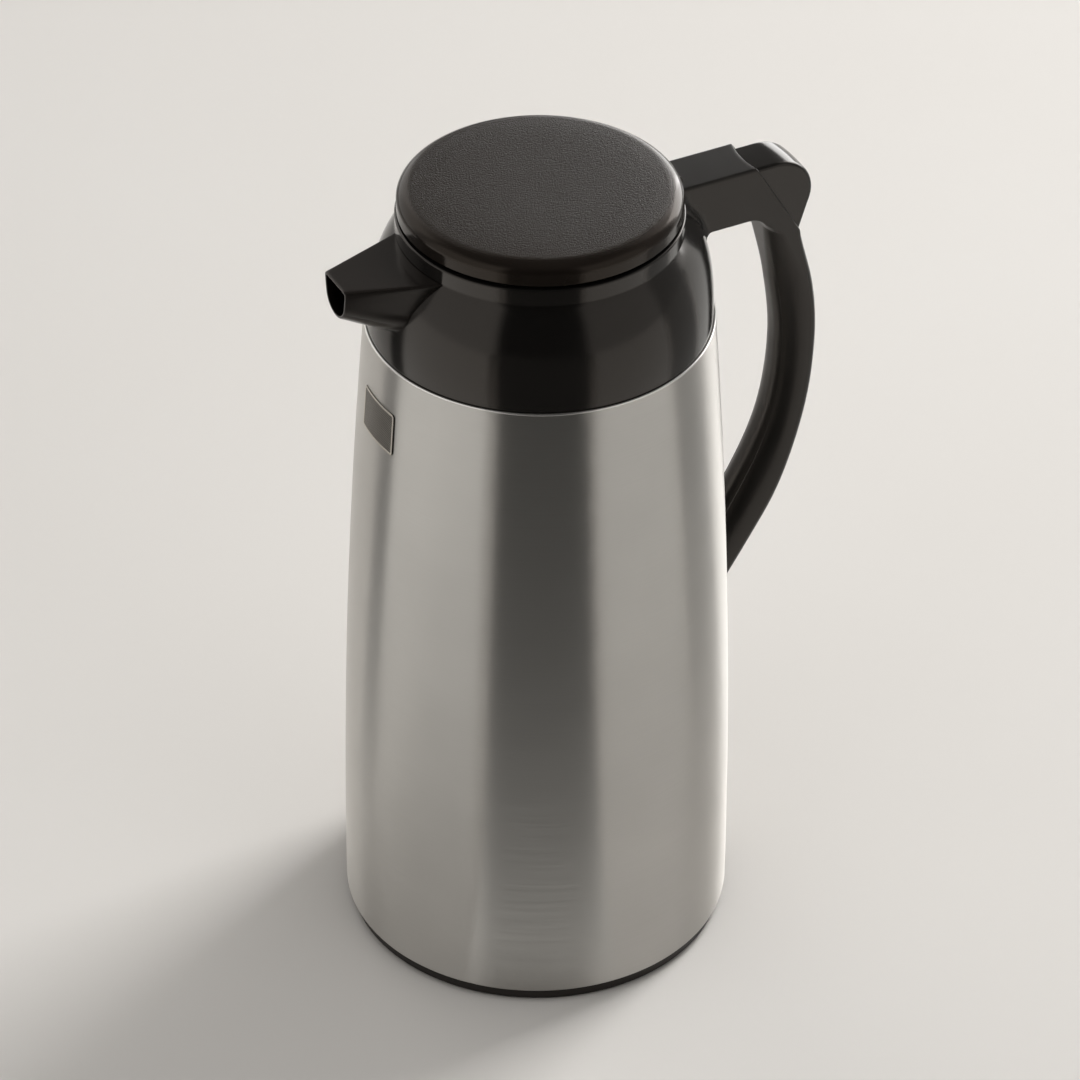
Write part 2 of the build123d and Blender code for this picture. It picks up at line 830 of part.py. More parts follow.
def make_thumb_lever():
    skin = across(lever_outline(0.0, 0.0), lever_half)
    top = Line((0, lever_top), (lever_round_x, lever_top))
    end = lever_outline(0.0, 0.0)[1]
    back = Line(end @ 1, (lever_tip_x, lever_tip_height))
    rounded = edges_along(skin, top, lever_half)
    rounded += edges_along(skin, end, lever_half)
    rounded += edges_along(skin, back, lever_half)
    skin = fillet(rounded, lever_edge_round)
    skin -= across(lever_outline(lever_wall, lever_hollow_reach), lever_half - lever_wall)
    for side in (-1, 1):
        low, high = sorted((side * (lever_boss_half - 0.5), side * (lever_half + 1)))
        skin -= bar_y(lever_boss_radius + moving_gap, low, high, lever_pin_x, lever_pin_height)
    web = across(
        Polyline(
            (lever_pin_x - 2.2, lever_pin_height + 1.4),
            (lever_pin_x, lever_pin_height - 2.0),
            (lever_tip_x - 1.0, lever_tip_height + 1.5),
            (lever_round_x + lever_round - 1.4, lever_top - lever_round - 2.0),
            (lever_round_x + lever_round - 4.2, lever_top - lever_round + 5.0),
            (lever_nose_x, rod_height + lever_nose_radius),
            (lever_nose_x - 1.6, rod_height - 1.2),
            close=True,
        ),
        lever_web_half,
    )
    boss = bar_y(lever_boss_radius, -lever_boss_half, lever_boss_half, lever_pin_x, lever_pin_height)
    nose = bar_y(lever_nose_radius, -lever_nose_half, lever_nose_half, lever_nose_x, rod_height)
    lever = skin + web + boss + nose
    half = handle_half
    return lever - bar_y(lever_pin_radius + pin_gap, -half, half, lever_pin_x, lever_pin_height)


def make_lever_pin():
    return bar_y(lever_pin_radius, -lever_pin_half, lever_pin_half, lever_pin_x, lever_pin_height)


def make_push_rod():
    rod = bar_x(rod_radius, rod_tip_x, rod_end_x, rod_height)
    rod += bar_x(rod_disc_radius, rod_end_x - rod_disc_thickness, rod_end_x, rod_height)
    return rod + bar_x(rod_disc_radius, rod_collar_x, rod_collar_x + rod_disc_thickness, rod_height)


def make_rod_spring():
    start = rod_guide_x + rod_guide_thickness + slip_gap
    end = rod_collar_x - slip_gap
    return spring_x(rod_spring_radius, rod_spring_wire, rod_spring_turns, start, end, rod_height)


# --- lid and stopper ------------------------------------------------------

def lid_hinge_room():
    """What is cut from the lid where the ears of the shoulder stand, beside the lid's own knuckle."""
    room = None
    for side in (-1, 1):
        near = lid_knuckle_half
        far = lid_knuckle_half + ear_width + 2 * moving_gap
        low, high = sorted((side * near, side * far))
        start = hinge_x - knuckle_radius - moving_gap
        piece = block(start, through, low, high, ear_low, hinge_height + knuckle_room)
        room = piece if room is None else room + piece
    return room


def make_lid_cap():
    centre_x = lid_radius - lid_edge_round
    centre_z = lid_top - lid_edge_round
    inner_round = lid_edge_round - lid_wall
    outline = [
        Polyline((0, lid_top - lid_wall), (0, lid_top), (centre_x, lid_top)),
        CenterArc((centre_x, centre_z), lid_edge_round, 0, 90),
        Polyline(
            (lid_radius, centre_z),
            (lid_radius, lid_low),
            (lid_radius - lid_wall, lid_low),
            (lid_radius - lid_wall, centre_z),
        ),
        CenterArc((centre_x, centre_z), inner_round, 0, 90),
        Line((centre_x, lid_top - lid_wall), (0, lid_top - lid_wall)),
    ]
    cap = revolve(Plane.XZ * make_face(outline), Axis.Z)
    cap -= lid_hinge_room()
    cap += bar_y(knuckle_radius, -lid_knuckle_half, lid_knuckle_half, hinge_x, hinge_height)
    return cap - bar_y(hinge_pin_radius + pin_gap, -through, through, hinge_x, hinge_height)


def make_lid_hinge_pin():
    half = lid_knuckle_half + moving_gap + ear_width
    return bar_y(hinge_pin_radius, -half, half, hinge_x, hinge_height)


def rear_slot(low, high):
    """Opening in the back of the stopper for the rocker and the tip of the rod."""
    half = rocker_half + moving_gap
    return block(rocker_x - rear_slot_depth, through, -half, half, low, high)


def make_lid_inner():
    inner_radius = stopper_radius - stopper_wall - slip_gap - tube_wall
    plate_radius = lid_radius - lid_wall - slip_gap
    plate_top = lid_plate_low + lid_plate
    inner = ring(inner_radius, plate_radius, lid_plate_low, plate_top)
    inner += ring(lid_guide_radius - lid_guide_wall, lid_guide_radius, lid_guide_low, lid_plate_low)
    inner += ring(inner_radius, stopper_radius, stopper_top, lid_plate_low)
    inner += ring(inner_radius, inner_radius + tube_wall, tube_low, stopper_top)
    bridge_top = bridge_height + bridge_thickness
    reach = inner_radius + tube_wall / 4
    inner += block(-bridge_half, bridge_half, -reach, reach, bridge_height, bridge_top)
    inner -= disc(stem_radius + moving_gap, bridge_height - 1, bridge_top + 1)
    inner -= rear_slot(rear_slot_low, lid_plate_low)
    rear_start = hinge_x - knuckle_radius - moving_gap - hinge_room_depth
    half = hinge_room_half
    inner -= block(rear_start, through, -half, half, lid_guide_low - 1, plate_top + 1)
    pin_reach = rocker_pin_half + pin_gap
    return inner - bar_y(rocker_pin_radius + pin_gap, -pin_reach, pin_reach, rocker_x, rocker_height)


def make_stopper_cup():
    floor_top = stopper_low + stopper_floor
    cup = ring(stopper_radius - stopper_wall, stopper_radius, stopper_low, stopper_top)
    cup += ring(port_radius, stopper_radius - stopper_wall / 2, stopper_low, floor_top)
    cup += ring(port_radius, stopper_hub_radius, stopper_low - stopper_hub_height, floor_top)
    for i in range(window_count):
        angle = 180 + (i - (window_count - 1) / 2) * window_pitch
        half = window_width / 2
        window = block(stopper_radius - window_depth, through, -half, half, window_low, window_top)
        cup -= Rot(0, 0, angle) * window
    return cup - rear_slot(rear_slot_low, stopper_top + 1)


def make_stopper_gasket():
    """Ring whose slanted face lies moving_gap above the cone of the bowl floor."""
    slope = cone_height / (cone_radius - collar_hole_radius)
    lift = moving_gap * math.hypot(1, slope)
    low = floor_low + 2 * moving_gap

    def cone_z(radius):
        return floor_low + (radius - collar_hole_radius) * slope + lift

    low_radius = collar_hole_radius + (low - floor_low - lift) / slope
    inner = stopper_hub_radius + slip_gap
    return revolved(
        (inner, low),
        (low_radius, low),
        (stopper_radius, cone_z(stopper_radius)),
        (stopper_radius, stopper_low),
        (inner, stopper_low),
    )


# --- valve ----------------------------------------------------------------

def make_valve_plug():
    boss_radius = valve_gasket_inner - slip_gap
    plug = disc(plug_radius, plug_low, plug_low + plug_height)
    plug += disc(boss_radius, plug_low - plug_boss_height, plug_low)
    return plug - disc(stem_radius + seam_gap, stopper_low, stopper_top)


def make_valve_gasket():
    return ring(valve_gasket_inner, valve_gasket_radius, plug_low - valve_gasket_height, plug_low)


def make_valve_stem():
    head_low = rocker_height + rocker_tip_radius + moving_gap
    stem = disc(stem_radius, plug_low - plug_boss_height, head_low + stem_head_height / 2)
    return stem + disc(stem_head_radius, head_low, head_low + stem_head_height)


def make_valve_spring():
    low = plug_low + plug_height + slip_gap
    high = bridge_height - slip_gap
    return spring_z(valve_spring_radius, valve_spring_wire, valve_spring_turns, low, high)


def make_rocker():
    low, high = rocker_height - rocker_thickness / 2, rocker_height + rocker_thickness / 2
    arm = block(0, rocker_x, -rocker_half, rocker_half, low, high)
    arm += bar_y(rocker_tip_radius, -rocker_half, rocker_half, 0, rocker_height)
    half = rocker_slot_half
    arm -= block(-rocker_x, stem_radius + rocker_slot_end, -half, half, low - 1, high + 1)
    leg = across(
        Polyline(
            (rocker_x - 2.0, rocker_height),
            (rocker_x + 2.4, rocker_height + 0.6),
            (rocker_nose_x + 1.5, rod_height + 1.2),
            (rocker_nose_x - 1.4, rod_height - 1.2),
            close=True,
        ),
        rocker_half,
    )
    rocker = arm + leg
    rocker += bar_y(rocker_boss_radius, -rocker_half, rocker_half, rocker_x, rocker_height)
    rocker += bar_y(rocker_nose_radius, -rocker_half, rocker_half, rocker_nose_x, rod_height)
    return rocker - bar_y(rocker_pin_radius + pin_gap, -through, through, rocker_x, rocker_height)


def make_rocker_pin():
    return bar_y(rocker_pin_radius, -rocker_pin_half, rocker_pin_half, rocker_x, rocker_height)


# --- plate under the spout ------------------------------------------------

def make_badge_plate():
    skin = shell_form(badge_thickness) - shell_form(badge_glue)
    window = block(-through, 0, -badge_width / 2, badge_width / 2, badge_low, badge_high)
    window = fillet(window.edges().filter_by(Axis.X), badge_corner)
    return skin & window


pieces = {
    "steel_shell": make_steel_shell,
    "base_ring": make_base_ring,
    "base_cover": make_base_cover,
    "liner_cushion": make_liner_cushion,
    "liner_outer_glass": make_liner_outer_glass,
    "liner_inner_glass": make_liner_inner_glass,
    "liner_spacers": make_liner_spacers,
    "neck_gasket": make_neck_gasket,
    "shoulder": make_shoulder,
    "bowl_floor": make_bowl_floor,
    "rod_bushing": make_rod_bushing,
    "spout": make_spout,
    "handle": make_handle,
    "handle_cover": make_handle_cover,
    "handle_upper_screws": make_upper_screws,
    "handle_lower_screw": make_lower_screw,
    "handle_washer": make_lower_washer,
    "thumb_lever": make_thumb_lever,
    "lever_pin": make_lever_pin,
    "push_rod": make_push_rod,
    "rod_spring": make_rod_spring,
    "lid_cap": make_lid_cap,
    "lid_inner": make_lid_inner,
    "lid_hinge_pin": make_lid_hinge_pin,
    "stopper_cup": make_stopper_cup,
    "stopper_gasket": make_stopper_gasket,
    "valve_plug": make_valve_plug,
    "valve_gasket": make_valve_gasket,
    "valve_stem": make_valve_stem,
    "valve_spring": make_valve_spring,
    "rocker": make_rocker,
    "rocker_pin": make_rocker_pin,
    "badge_plate": make_badge_plate,
}


def main():
    os.makedirs("parts", exist_ok=True)
    for name, make in pieces.items():
        piece = make()
        solids = piece.solids()
        export_step(solids[0] if len(solids) == 1 else Compound(children=solids), f"parts/{name}.step")
        print(name, len(solids), round(sum(solid.volume for solid in solids)))


if __name__ == "__main__":
    main()
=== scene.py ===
import math

import bmesh
import bpy
import numpy as np
from mathutils import Matrix, Vector


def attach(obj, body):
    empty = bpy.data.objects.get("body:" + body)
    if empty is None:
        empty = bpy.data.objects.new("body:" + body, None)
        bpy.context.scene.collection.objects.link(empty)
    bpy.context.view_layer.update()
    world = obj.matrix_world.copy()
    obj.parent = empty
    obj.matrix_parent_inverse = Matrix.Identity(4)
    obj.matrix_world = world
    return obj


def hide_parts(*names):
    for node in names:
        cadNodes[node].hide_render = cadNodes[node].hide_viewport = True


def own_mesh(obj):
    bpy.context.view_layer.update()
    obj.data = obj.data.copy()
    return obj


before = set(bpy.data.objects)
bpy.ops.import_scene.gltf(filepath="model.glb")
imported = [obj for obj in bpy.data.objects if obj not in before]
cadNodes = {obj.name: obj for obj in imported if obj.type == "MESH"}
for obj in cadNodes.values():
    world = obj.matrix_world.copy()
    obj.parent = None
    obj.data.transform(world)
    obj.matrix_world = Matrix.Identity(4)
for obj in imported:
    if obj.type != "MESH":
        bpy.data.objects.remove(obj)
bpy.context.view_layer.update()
print("frame loaded:", len(cadNodes), "nodes")


def linear(code):
    # sRGB hex colour to linear red, green, blue and a full alpha
    parts = [int(code[i:i + 2], 16) / 255 for i in (1, 3, 5)]
    return [c / 12.92 if c <= 0.04045 else ((c + 0.055) / 1.055) ** 2.4 for c in parts] + [1.0]


def addNode(tree, kind, settings):
    # one node with its properties, and its inputs by name or number: another node's output is linked, all else is set
    node = tree.nodes.new(kind)
    for key, value in settings.items():
        if isinstance(value, bpy.types.NodeSocket):
            tree.links.new(value, node.inputs[key])
        elif isinstance(key, str) and key not in node.inputs:
            setattr(node, key, value)
        else:
            node.inputs[key].default_value = value
    return node


def gridFaces(rows, cols, wrap):
    # quads between neighbouring rows and columns; wrap joins the last column to the first
    r = np.arange(rows - 1)[:, None]
    c = np.arange(cols if wrap else cols - 1)[None, :]
    n = (c + 1) % cols
    return np.stack([r * cols + c, r * cols + n, (r + 1) * cols + n, (r + 1) * cols + c], -1).reshape(-1, 4)


def meshOf(name, patches):
    # patches are (points in mm as rows x columns x 3, wrap); they are welded where they meet
    points, faces, start = [], [], 0
    for grid, wrap in patches:
        rows, cols = grid.shape[:2]
        points.append(grid.reshape(-1, 3) * 0.001)
        faces.append(gridFaces(rows, cols, wrap) + start)
        start += rows * cols
    mesh = bpy.data.meshes.new(name)
    mesh.from_pydata(np.concatenate(points).tolist(), [], np.concatenate(faces).tolist())
    tidyMesh(mesh, 2e-6)
    return mesh


def tidyMesh(mesh, distance):
    # welds doubles, drops faces without area, turns the faces outwards
    work = bmesh.new()
    work.from_mesh(mesh)
    bmesh.ops.remove_doubles(work, verts=work.verts, dist=distance)
    bmesh.ops.dissolve_degenerate(work, edges=work.edges, dist=1e-7)
    bmesh.ops.recalc_face_normals(work, faces=work.faces)
    work.to_mesh(mesh)
    work.free()


def creaseAbove(mesh, degrees):
    # smooth shading, with edges kept crisp where two faces turn by more than this
    work = bmesh.new()
    work.from_mesh(mesh)
    limit = math.radians(degrees)
    for edge in work.edges:
        edge.smooth = len(edge.link_faces) == 2 and edge.calc_face_angle(0.0) < limit
    for face in work.faces:
        face.smooth = True
    work.to_mesh(mesh)
    work.free()


def placed(name, data):
    # a new object of this mesh, lamp or camera, in the scene
    item = bpy.data.objects.new(name, data)
    bpy.context.scene.collection.objects.link(item)
    return item


def makePiece(name, mesh, body, material, replaced=(), crease=30):
    # a named piece on its body, in one material, in place of the frame's nodes it replaces
    piece = placed(name, mesh)
    creaseAbove(mesh, crease)
    piece.modifiers.new("evenShading", "WEIGHTED_NORMAL").keep_sharp = True
    mesh.materials.clear()
    mesh.materials.append(material)
    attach(piece, body)
    if replaced:
        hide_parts(*replaced)
    return piece


def cutAway(mesh, cutters):
    # the mesh less each cutter mesh, worked out exactly and kept as plain faces
    for cutter in cutters:
        first, second = placed("cutFrom", mesh), placed("cutWith", cutter)
        cut = first.modifiers.new("cut", "BOOLEAN")
        cut.operation, cut.solver, cut.object = "DIFFERENCE", "EXACT", second
        bpy.context.view_layer.update()
        done = bpy.data.meshes.new_from_object(first.evaluated_get(bpy.context.evaluated_depsgraph_get()))
        for each in (first, second):
            bpy.data.objects.remove(each)
        mesh = done
    return mesh


def bent(corners, steps):
    # corners are (across, up, radius); each is replaced by an arc that touches both its sides
    line = []
    last = len(corners) - 1
    for i, (x, z, radius) in enumerate(corners):
        if radius == 0 or i in (0, last):
            line.append((x, z))
            continue
        here = np.array((x, z))
        back, ahead = [np.array(corners[k][:2]) - here for k in (i - 1, i + 1)]
        back, ahead = back / np.linalg.norm(back), ahead / np.linalg.norm(ahead)
        half = math.acos(float(np.clip(back @ ahead, -1, 1))) / 2
        middle = back + ahead
        centre = here + middle / np.linalg.norm(middle) * radius / math.sin(half)
        start, end = here + back * radius / math.tan(half), here + ahead * radius / math.tan(half)
        a, b = np.arctan2(*(start - centre)[::-1]), np.arctan2(*(end - centre)[::-1])
        turn = (b - a + math.pi) % (2 * math.pi) - math.pi
        angle = a + turn * np.linspace(0, 1, steps)
        line.extend(zip(centre[0] + radius * np.cos(angle), centre[1] + radius * np.sin(angle)))
    return np.array(line)


def turned(profile):
    # surface of revolution: x = r cos a, y = r sin a, z as in the profile
    angle = np.linspace(0, 2 * math.pi, 256, endpoint=False)
    r, z = profile[:, 0][:, None], profile[:, 1][:, None]
    return np.stack([r * np.cos(angle), r * np.sin(angle), z + 0 * angle], -1), True


def arcAround(centre, radius, first, last, steps):
    # points (across, up) on a circle from one angle to another, in degrees
    a = np.radians(np.linspace(first, last, steps))
    return np.stack([centre[0] + radius * np.cos(a), centre[1] + radius * np.sin(a)], -1)


def smoothLine(points, steps):
    # curve through the points: Catmull-Rom pieces, each a cubic in its own parameter
    p = np.array(points, float)
    p = np.concatenate([[2 * p[0] - p[1]], p, [2 * p[-1] - p[-2]]])
    t = np.linspace(0, len(p) - 3, steps)
    i = np.minimum(t.astype(int), len(p) - 4)
    f = (t - i)[:, None]
    a, b, c, d = p[i], p[i + 1], p[i + 2], p[i + 3]
    return 0.5 * (2 * b + (c - a) * f + (2 * a - 5 * b + 4 * c - d) * f**2 + (3 * b - a - 3 * c + d) * f**3)


def evenly(line, steps):
    # the same line with points at equal distances along it
    along = np.concatenate([[0], np.cumsum(np.linalg.norm(np.diff(line, axis=0), axis=1))])
    at = np.linspace(0, along[-1], steps)
    return np.stack([np.interp(at, along, line[:, k]) for k in range(line.shape[1])], -1)


def capped(loops):
    # closed loops along a piece, each end closed by a fan to its middle
    ends = [np.stack([end, np.broadcast_to(end.mean(0), end.shape)]) for end in (loops[0], loops[-1])]
    return [(loops, True)] + [(end, True) for end in ends]


def between(outer, inner):
    # distance from each point of one line to its match on the other, and the way there
    depth = np.linalg.norm(inner - outer, axis=1)[:, None]
    return depth, (inner - outer) / depth


def sunk(outer, along, d):
    # x and z of the points this far down from the outer line
    return outer[:, :1] + along[:, :1] * d, outer[:, 1:] + along[:, 1:] * d


def quarter(steps):
    return np.radians(np.linspace(0, 90, steps))[None, :]


def ringOf(top, side, under):
    # closed loop round a section from its top, one side and its underside, each as (across, down)
    across = np.concatenate([top[0], side[0], under[0], -side[0][:, ::-1]], 1)
    return across, np.concatenate([top[1], side[1], under[1], side[1][:, ::-1]], 1)


def prism(name, outline, low, high):
    # side view (x, z) drawn out from y = low to y = high, with one flat face at each end
    n = len(outline)
    x, z = np.array(outline).T
    points = np.concatenate([np.stack([x, np.full(n, y), z], -1) for y in (low, high)]) * 0.001
    sides = np.stack([np.arange(n), (np.arange(n) + 1) % n, (np.arange(n) + 1) % n + n, np.arange(n) + n], -1)
    mesh = bpy.data.meshes.new(name)
    mesh.from_pydata(points.tolist(), [], sides.tolist() + [list(range(n)), list(range(n, 2 * n))])
    tidyMesh(mesh, 2e-6)
    return mesh


def eitherSide(near, far):
    # the span from near to far across, left and right of the middle
    return (-far, -near), (near, far)


def block(name, x1, x2, z1, z2, low, high):
    # box between two x, two z and two y
    return prism(name, [(x1, z1), (x2, z1), (x2, z2), (x1, z2)], low, high)


def crossBar(name, radius, low, high, x, z):
    # round bar along y, with 32 sides
    return prism(name, arcAround((x, z), radius, 0, 348.75, 32), low, high)


def joined(name, meshes):
    # several closed meshes as one, side by side
    work = bmesh.new()
    for each in meshes:
        work.from_mesh(each)
    mesh = bpy.data.meshes.new(name)
    work.to_mesh(mesh)
    work.free()
    return mesh


def newMaterial(name):
    # a material with an empty node tree, the tree, and the Object coordinates in it
    material = bpy.data.materials.new(name)
    material.use_nodes = True
    tree = material.node_tree
    tree.nodes.clear()
    return material, tree, addNode(tree, "ShaderNodeTexCoord", {}).outputs["Object"]


def finished(material, settings, kind="ShaderNodeBsdfPrincipled"):
    # the material closed by one shader and its output
    shader = addNode(material.node_tree, kind, settings)
    addNode(material.node_tree, "ShaderNodeOutputMaterial", {"Surface": shader.outputs[0]})
    return material


def noise(tree, place, scale, detail, roughness=0.5):
    settings = {"Vector": place, "Scale": scale, "Detail": detail, "Roughness": roughness}
    return addNode(tree, "ShaderNodeTexNoise", settings).outputs["Fac"]


def ranged(tree, value, toLow, toHigh, low=0.0, high=1.0):
    # value carried from low..high to toLow..toHigh, and held at both ends
    settings = {"Value": value, "From Min": low, "From Max": high, "To Min": toLow, "To Max": toHigh}
    return addNode(tree, "ShaderNodeMapRange", settings).outputs["Result"]


def maths(tree, operation, first, second=0.0):
    return addNode(tree, "ShaderNodeMath", {"operation": operation, 0: first, 1: second}).outputs[0]


def mixed(tree, share, first, second, blend="MIX"):
    settings = {"data_type": "RGBA", "blend_type": blend, 0: share, 6: first, 7: second}
    return addNode(tree, "ShaderNodeMix", settings).outputs[2]


def bumped(tree, height, distance, settings):
    return addNode(tree, "ShaderNodeBump", {"Height": height, "Distance": distance, **settings}).outputs["Normal"]


def axesOf(tree, place):
    return addNode(tree, "ShaderNodeSeparateXYZ", {"Vector": place}).outputs


# the lid's grain in mm: size, where its flat top ends and over what width it fades; then depth, and added roughness
lidGrain = {"size": 0.5, "edge": 44.8, "fade": 2.5, "depth": 0.24, "matt": 0.2}


def mouldedPlastic(name, code, roughness, grain=None, shine=0.5, sheen="#fff4ea"):
    # moulded ABS: soft mirror gloss that wavers a little over each moulding, with faint handling dust
    material, tree, place = newMaterial(name)
    broad = noise(tree, place, 45.0, 2.0)
    rough = ranged(tree, broad, roughness * 0.88, roughness * 1.15, 0.3, 0.7)
    dark = linear(code)
    tint = mixed(tree, broad, dark, [min(1.0, c * 1.25 + 0.0015) for c in dark[:3]] + [1.0])
    normal = bumped(tree, broad, 0.0004, {"Strength": 0.04})
    if grain:
        # spark-eroded grain on the flat top only: inside goes from 0 at its edge to 1
        flat = addNode(tree, "ShaderNodeVectorMath", {"operation": "MULTIPLY", 0: place, 1: (1, 1, 0)})
        across = addNode(tree, "ShaderNodeVectorMath", {"operation": "LENGTH", 0: flat.outputs["Vector"]})
        inside = ranged(tree, across.outputs["Value"], 0.0, 1.0, grain["edge"] * 0.001,
                        (grain["edge"] - grain["fade"]) * 0.001)
        fine = noise(tree, place, 1000.0 / grain["size"], 2.0, 0.6)
        normal = bumped(tree, fine, grain["depth"] * 0.001, {"Strength": inside, "Normal": normal})
        rough = maths(tree, "ADD", rough, ranged(tree, inside, 0.0, grain["matt"]))
    return finished(material, {"Base Color": tint, "Roughness": rough, "Normal": normal, "IOR": 1.48,
                               "Specular IOR Level": shine, "Specular Tint": linear(sheen)})


def brushedSteel(name, code, roughness, lineGap, lineLength):
    # stainless steel brushed round the body: fine lines run round it, so highlights stretch up and down
    material, tree, place = newMaterial(name)
    bodyRadius = 65.0
    axes = axesOf(tree, place)
    along = maths(tree, "MULTIPLY", maths(tree, "ARCTAN2", axes["Y"], axes["X"]), bodyRadius / lineLength)
    rows = maths(tree, "MULTIPLY", axes["Z"], 1000.0 / lineGap)
    spot = addNode(tree, "ShaderNodeCombineXYZ", {"X": along, "Y": rows}).outputs["Vector"]
    lines = noise(tree, spot, 1.0, 4.0, 0.65)
    base = linear(code)
    tint = mixed(tree, lines, [c * 0.86 for c in base[:3]] + [1.0], base)
    ring = addNode(tree, "ShaderNodeTangent", {"direction_type": "RADIAL", "axis": "Z"}).outputs["Tangent"]
    return finished(material, {"Base Color": mixed(tree, 0.12, tint, noise(tree, place, 28.0, 2.0), "MULTIPLY"),
                               "Roughness": ranged(tree, lines, roughness - 0.06, roughness + 0.06, 0.25, 0.75),
                               "Normal": bumped(tree, lines, 0.00005, {"Strength": 0.12}), "Tangent": ring,
                               "Metallic": 1.0, "Anisotropic": 1.0, "Anisotropic Rotation": 0.25})


def plainMetal(name, code, roughness):
    # drawn and plated steel: even, slightly streaky shine
    material, tree, place = newMaterial(name)
    gloss = ranged(tree, noise(tree, place, 900.0, 2.0), roughness - 0.05, roughness + 0.08)
    return finished(material, {"Metallic": 1.0, "Base Color": linear(code), "Roughness": gloss})


def etchedPlate(name, bright, dark, roughness, lineGap):
    # nickel plate with a fine etched diamond ground: sin * sin of two crossed slants, plain where rim is 1
    material, tree, place = newMaterial(name)
    axes = axesOf(tree, place)
    ways = []
    for sign in (1, -1):
        slant = maths(tree, "ADD", maths(tree, "MULTIPLY", axes["Y"], sign), axes["Z"])
        ways.append(maths(tree, "SINE", maths(tree, "MULTIPLY", slant, 2000 * math.pi / lineGap)))
    ground = ranged(tree, maths(tree, "MULTIPLY", *ways), 0.0, 0.55, -0.5, 0.9)
    edge = addNode(tree, "ShaderNodeAttribute", {"attribute_name": "rim"}).outputs["Fac"]
    share = maths(tree, "MAXIMUM", ground, edge)
    return finished(material, {"Base Color": mixed(tree, share, linear(dark), linear(bright)), "Metallic": 1.0,
                               "Roughness": roughness, "Normal": bumped(tree, share, 0.00008, {"Strength": 0.5})})


def softRubber(name, code):
    # silicone rubber: matt, a little waxy
    material, tree, place = newMaterial(name)
    gloss = ranged(tree, noise(tree, place, 160.0, 3.0), 0.5, 0.7)
    return finished(material, {"IOR": 1.41, "Base Color": linear(code), "Roughness": gloss})


def silveredGlass(name):
    # glass flask silvered between its walls: a bright mirror behind clear glass, faintly warm
    material, tree, place = newMaterial(name)
    gloss = ranged(tree, noise(tree, place, 60.0, 2.0), 0.04, 0.12)
    return finished(material, {"Metallic": 1.0, "Base Color": linear("#dcdcd6"), "Roughness": gloss,
                               "Coat Weight": 1.0, "Coat Roughness": 0.02})


glossBlack = mouldedPlastic("glossBlackMoulding", "#100f0e", 0.15)
leverBlack = mouldedPlastic("glossBlackLever", "#100f0e", 0.14)
grainedBlack = mouldedPlastic("grainedBlackLid", "#15110e", 0.16, grain=lidGrain, shine=0.29, sheen="#ffecda")
spoutBlack = mouldedPlastic("satinBlackSpout", "#171412", 0.18)
footBlack = mouldedPlastic("satinBlackFoot", "#100f0f", 0.3)
greyMoulding = mouldedPlastic("satinGreyMoulding", "#4c4c4b", 0.42)
bodySteel = brushedSteel("steelBrushedRound", "#cdcac5", 0.36, lineGap=0.35, lineLength=55.0)
lipSteel = plainMetal("steelPolishedEdge", "#dcdad6", 0.3)
smallSteel = plainMetal("platedSteel", "#c4c4c2", 0.28)
badgeMetal = etchedPlate("etchedNickelPlate", "#c4beb4", "#2a2622", 0.36, lineGap=1.3)
handleBlack = mouldedPlastic("satinBlackHandle", "#100f0e", 0.31)
paleRubber = softRubber("paleSilicone", "#b4afa6")
darkRubber = softRubber("darkSilicone", "#2a2a29")
flaskGlass = silveredGlass("silveredFlask")
print("materials made")

steelSizes = {
    "lowRadius": 67.6, "seamRadius": 58.64, "bow": 2.48, "foot": 4.7, "seam": 244.8,
    "wall": 0.6, "turn": 1.2, "lip": 5.0, "topRoll": 0.55,
    # the bead's circle: how far in from the seam's radius, how far below the seam, and its own radius
    "bead": (0.38, 0.42, 0.48),
}


def circleThrough(a, b, c):
    # centre and radius of the circle through three points
    (ax, az), (bx, bz), (cx, cz) = a, b, c
    d = 2 * (ax * (bz - cz) + bx * (cz - az) + cx * (az - bz))
    p, q, r = ax**2 + az**2, bx**2 + bz**2, cx**2 + cz**2
    x = (p * (bz - cz) + q * (cz - az) + r * (az - bz)) / d
    z = (p * (cx - bx) + q * (ax - cx) + r * (bx - ax)) / d
    return x, z, math.hypot(ax - x, az - z)


def steelRadius(z):
    # the body's side: a flat arc through the turned lower edge, the middle and the seam
    s = steelSizes
    middle = (s["lowRadius"] + s["seamRadius"]) / 2 + s["bow"]
    x, centre, radius = circleThrough((s["lowRadius"], s["foot"] + s["turn"]),
                                      (middle, (s["foot"] + s["seam"]) / 2), (s["seamRadius"], s["seam"]))
    return x + np.sqrt(radius**2 - (z - centre) ** 2)


def makeSteelBody():
    # turned profile: lip under the foot, turned edge, bowed side, rolled top edge, then the inner wall
    s = steelSizes
    foot, turn, topRoll = s["foot"], s["turn"], s["topRoll"]
    low, lipRadius = s["lowRadius"] - turn, s["lowRadius"] - s["lip"]
    side = np.linspace(foot + turn, s["seam"] - topRoll, 90)
    back = side[::-1]
    turnEdge = arcAround((low, foot + turn), turn, -90, 0, 10)
    outer = np.stack([steelRadius(side), side], -1)
    roll = arcAround((steelRadius(side[-1]) - topRoll, side[-1]), topRoll, 0, 90, 10)
    inner = np.stack([steelRadius(back) - s["wall"] * 2, back], -1)
    end = [(low, foot + s["wall"]), (lipRadius, foot + s["wall"]), (lipRadius, foot)]
    profile = np.concatenate([[(lipRadius, foot)], turnEdge, outer[1:], roll[1:], inner, end])
    mesh = meshOf("steelBody", [turned(profile)])
    makePiece("steelBody", mesh, "carafe", bodySteel, ("steel_shell",))


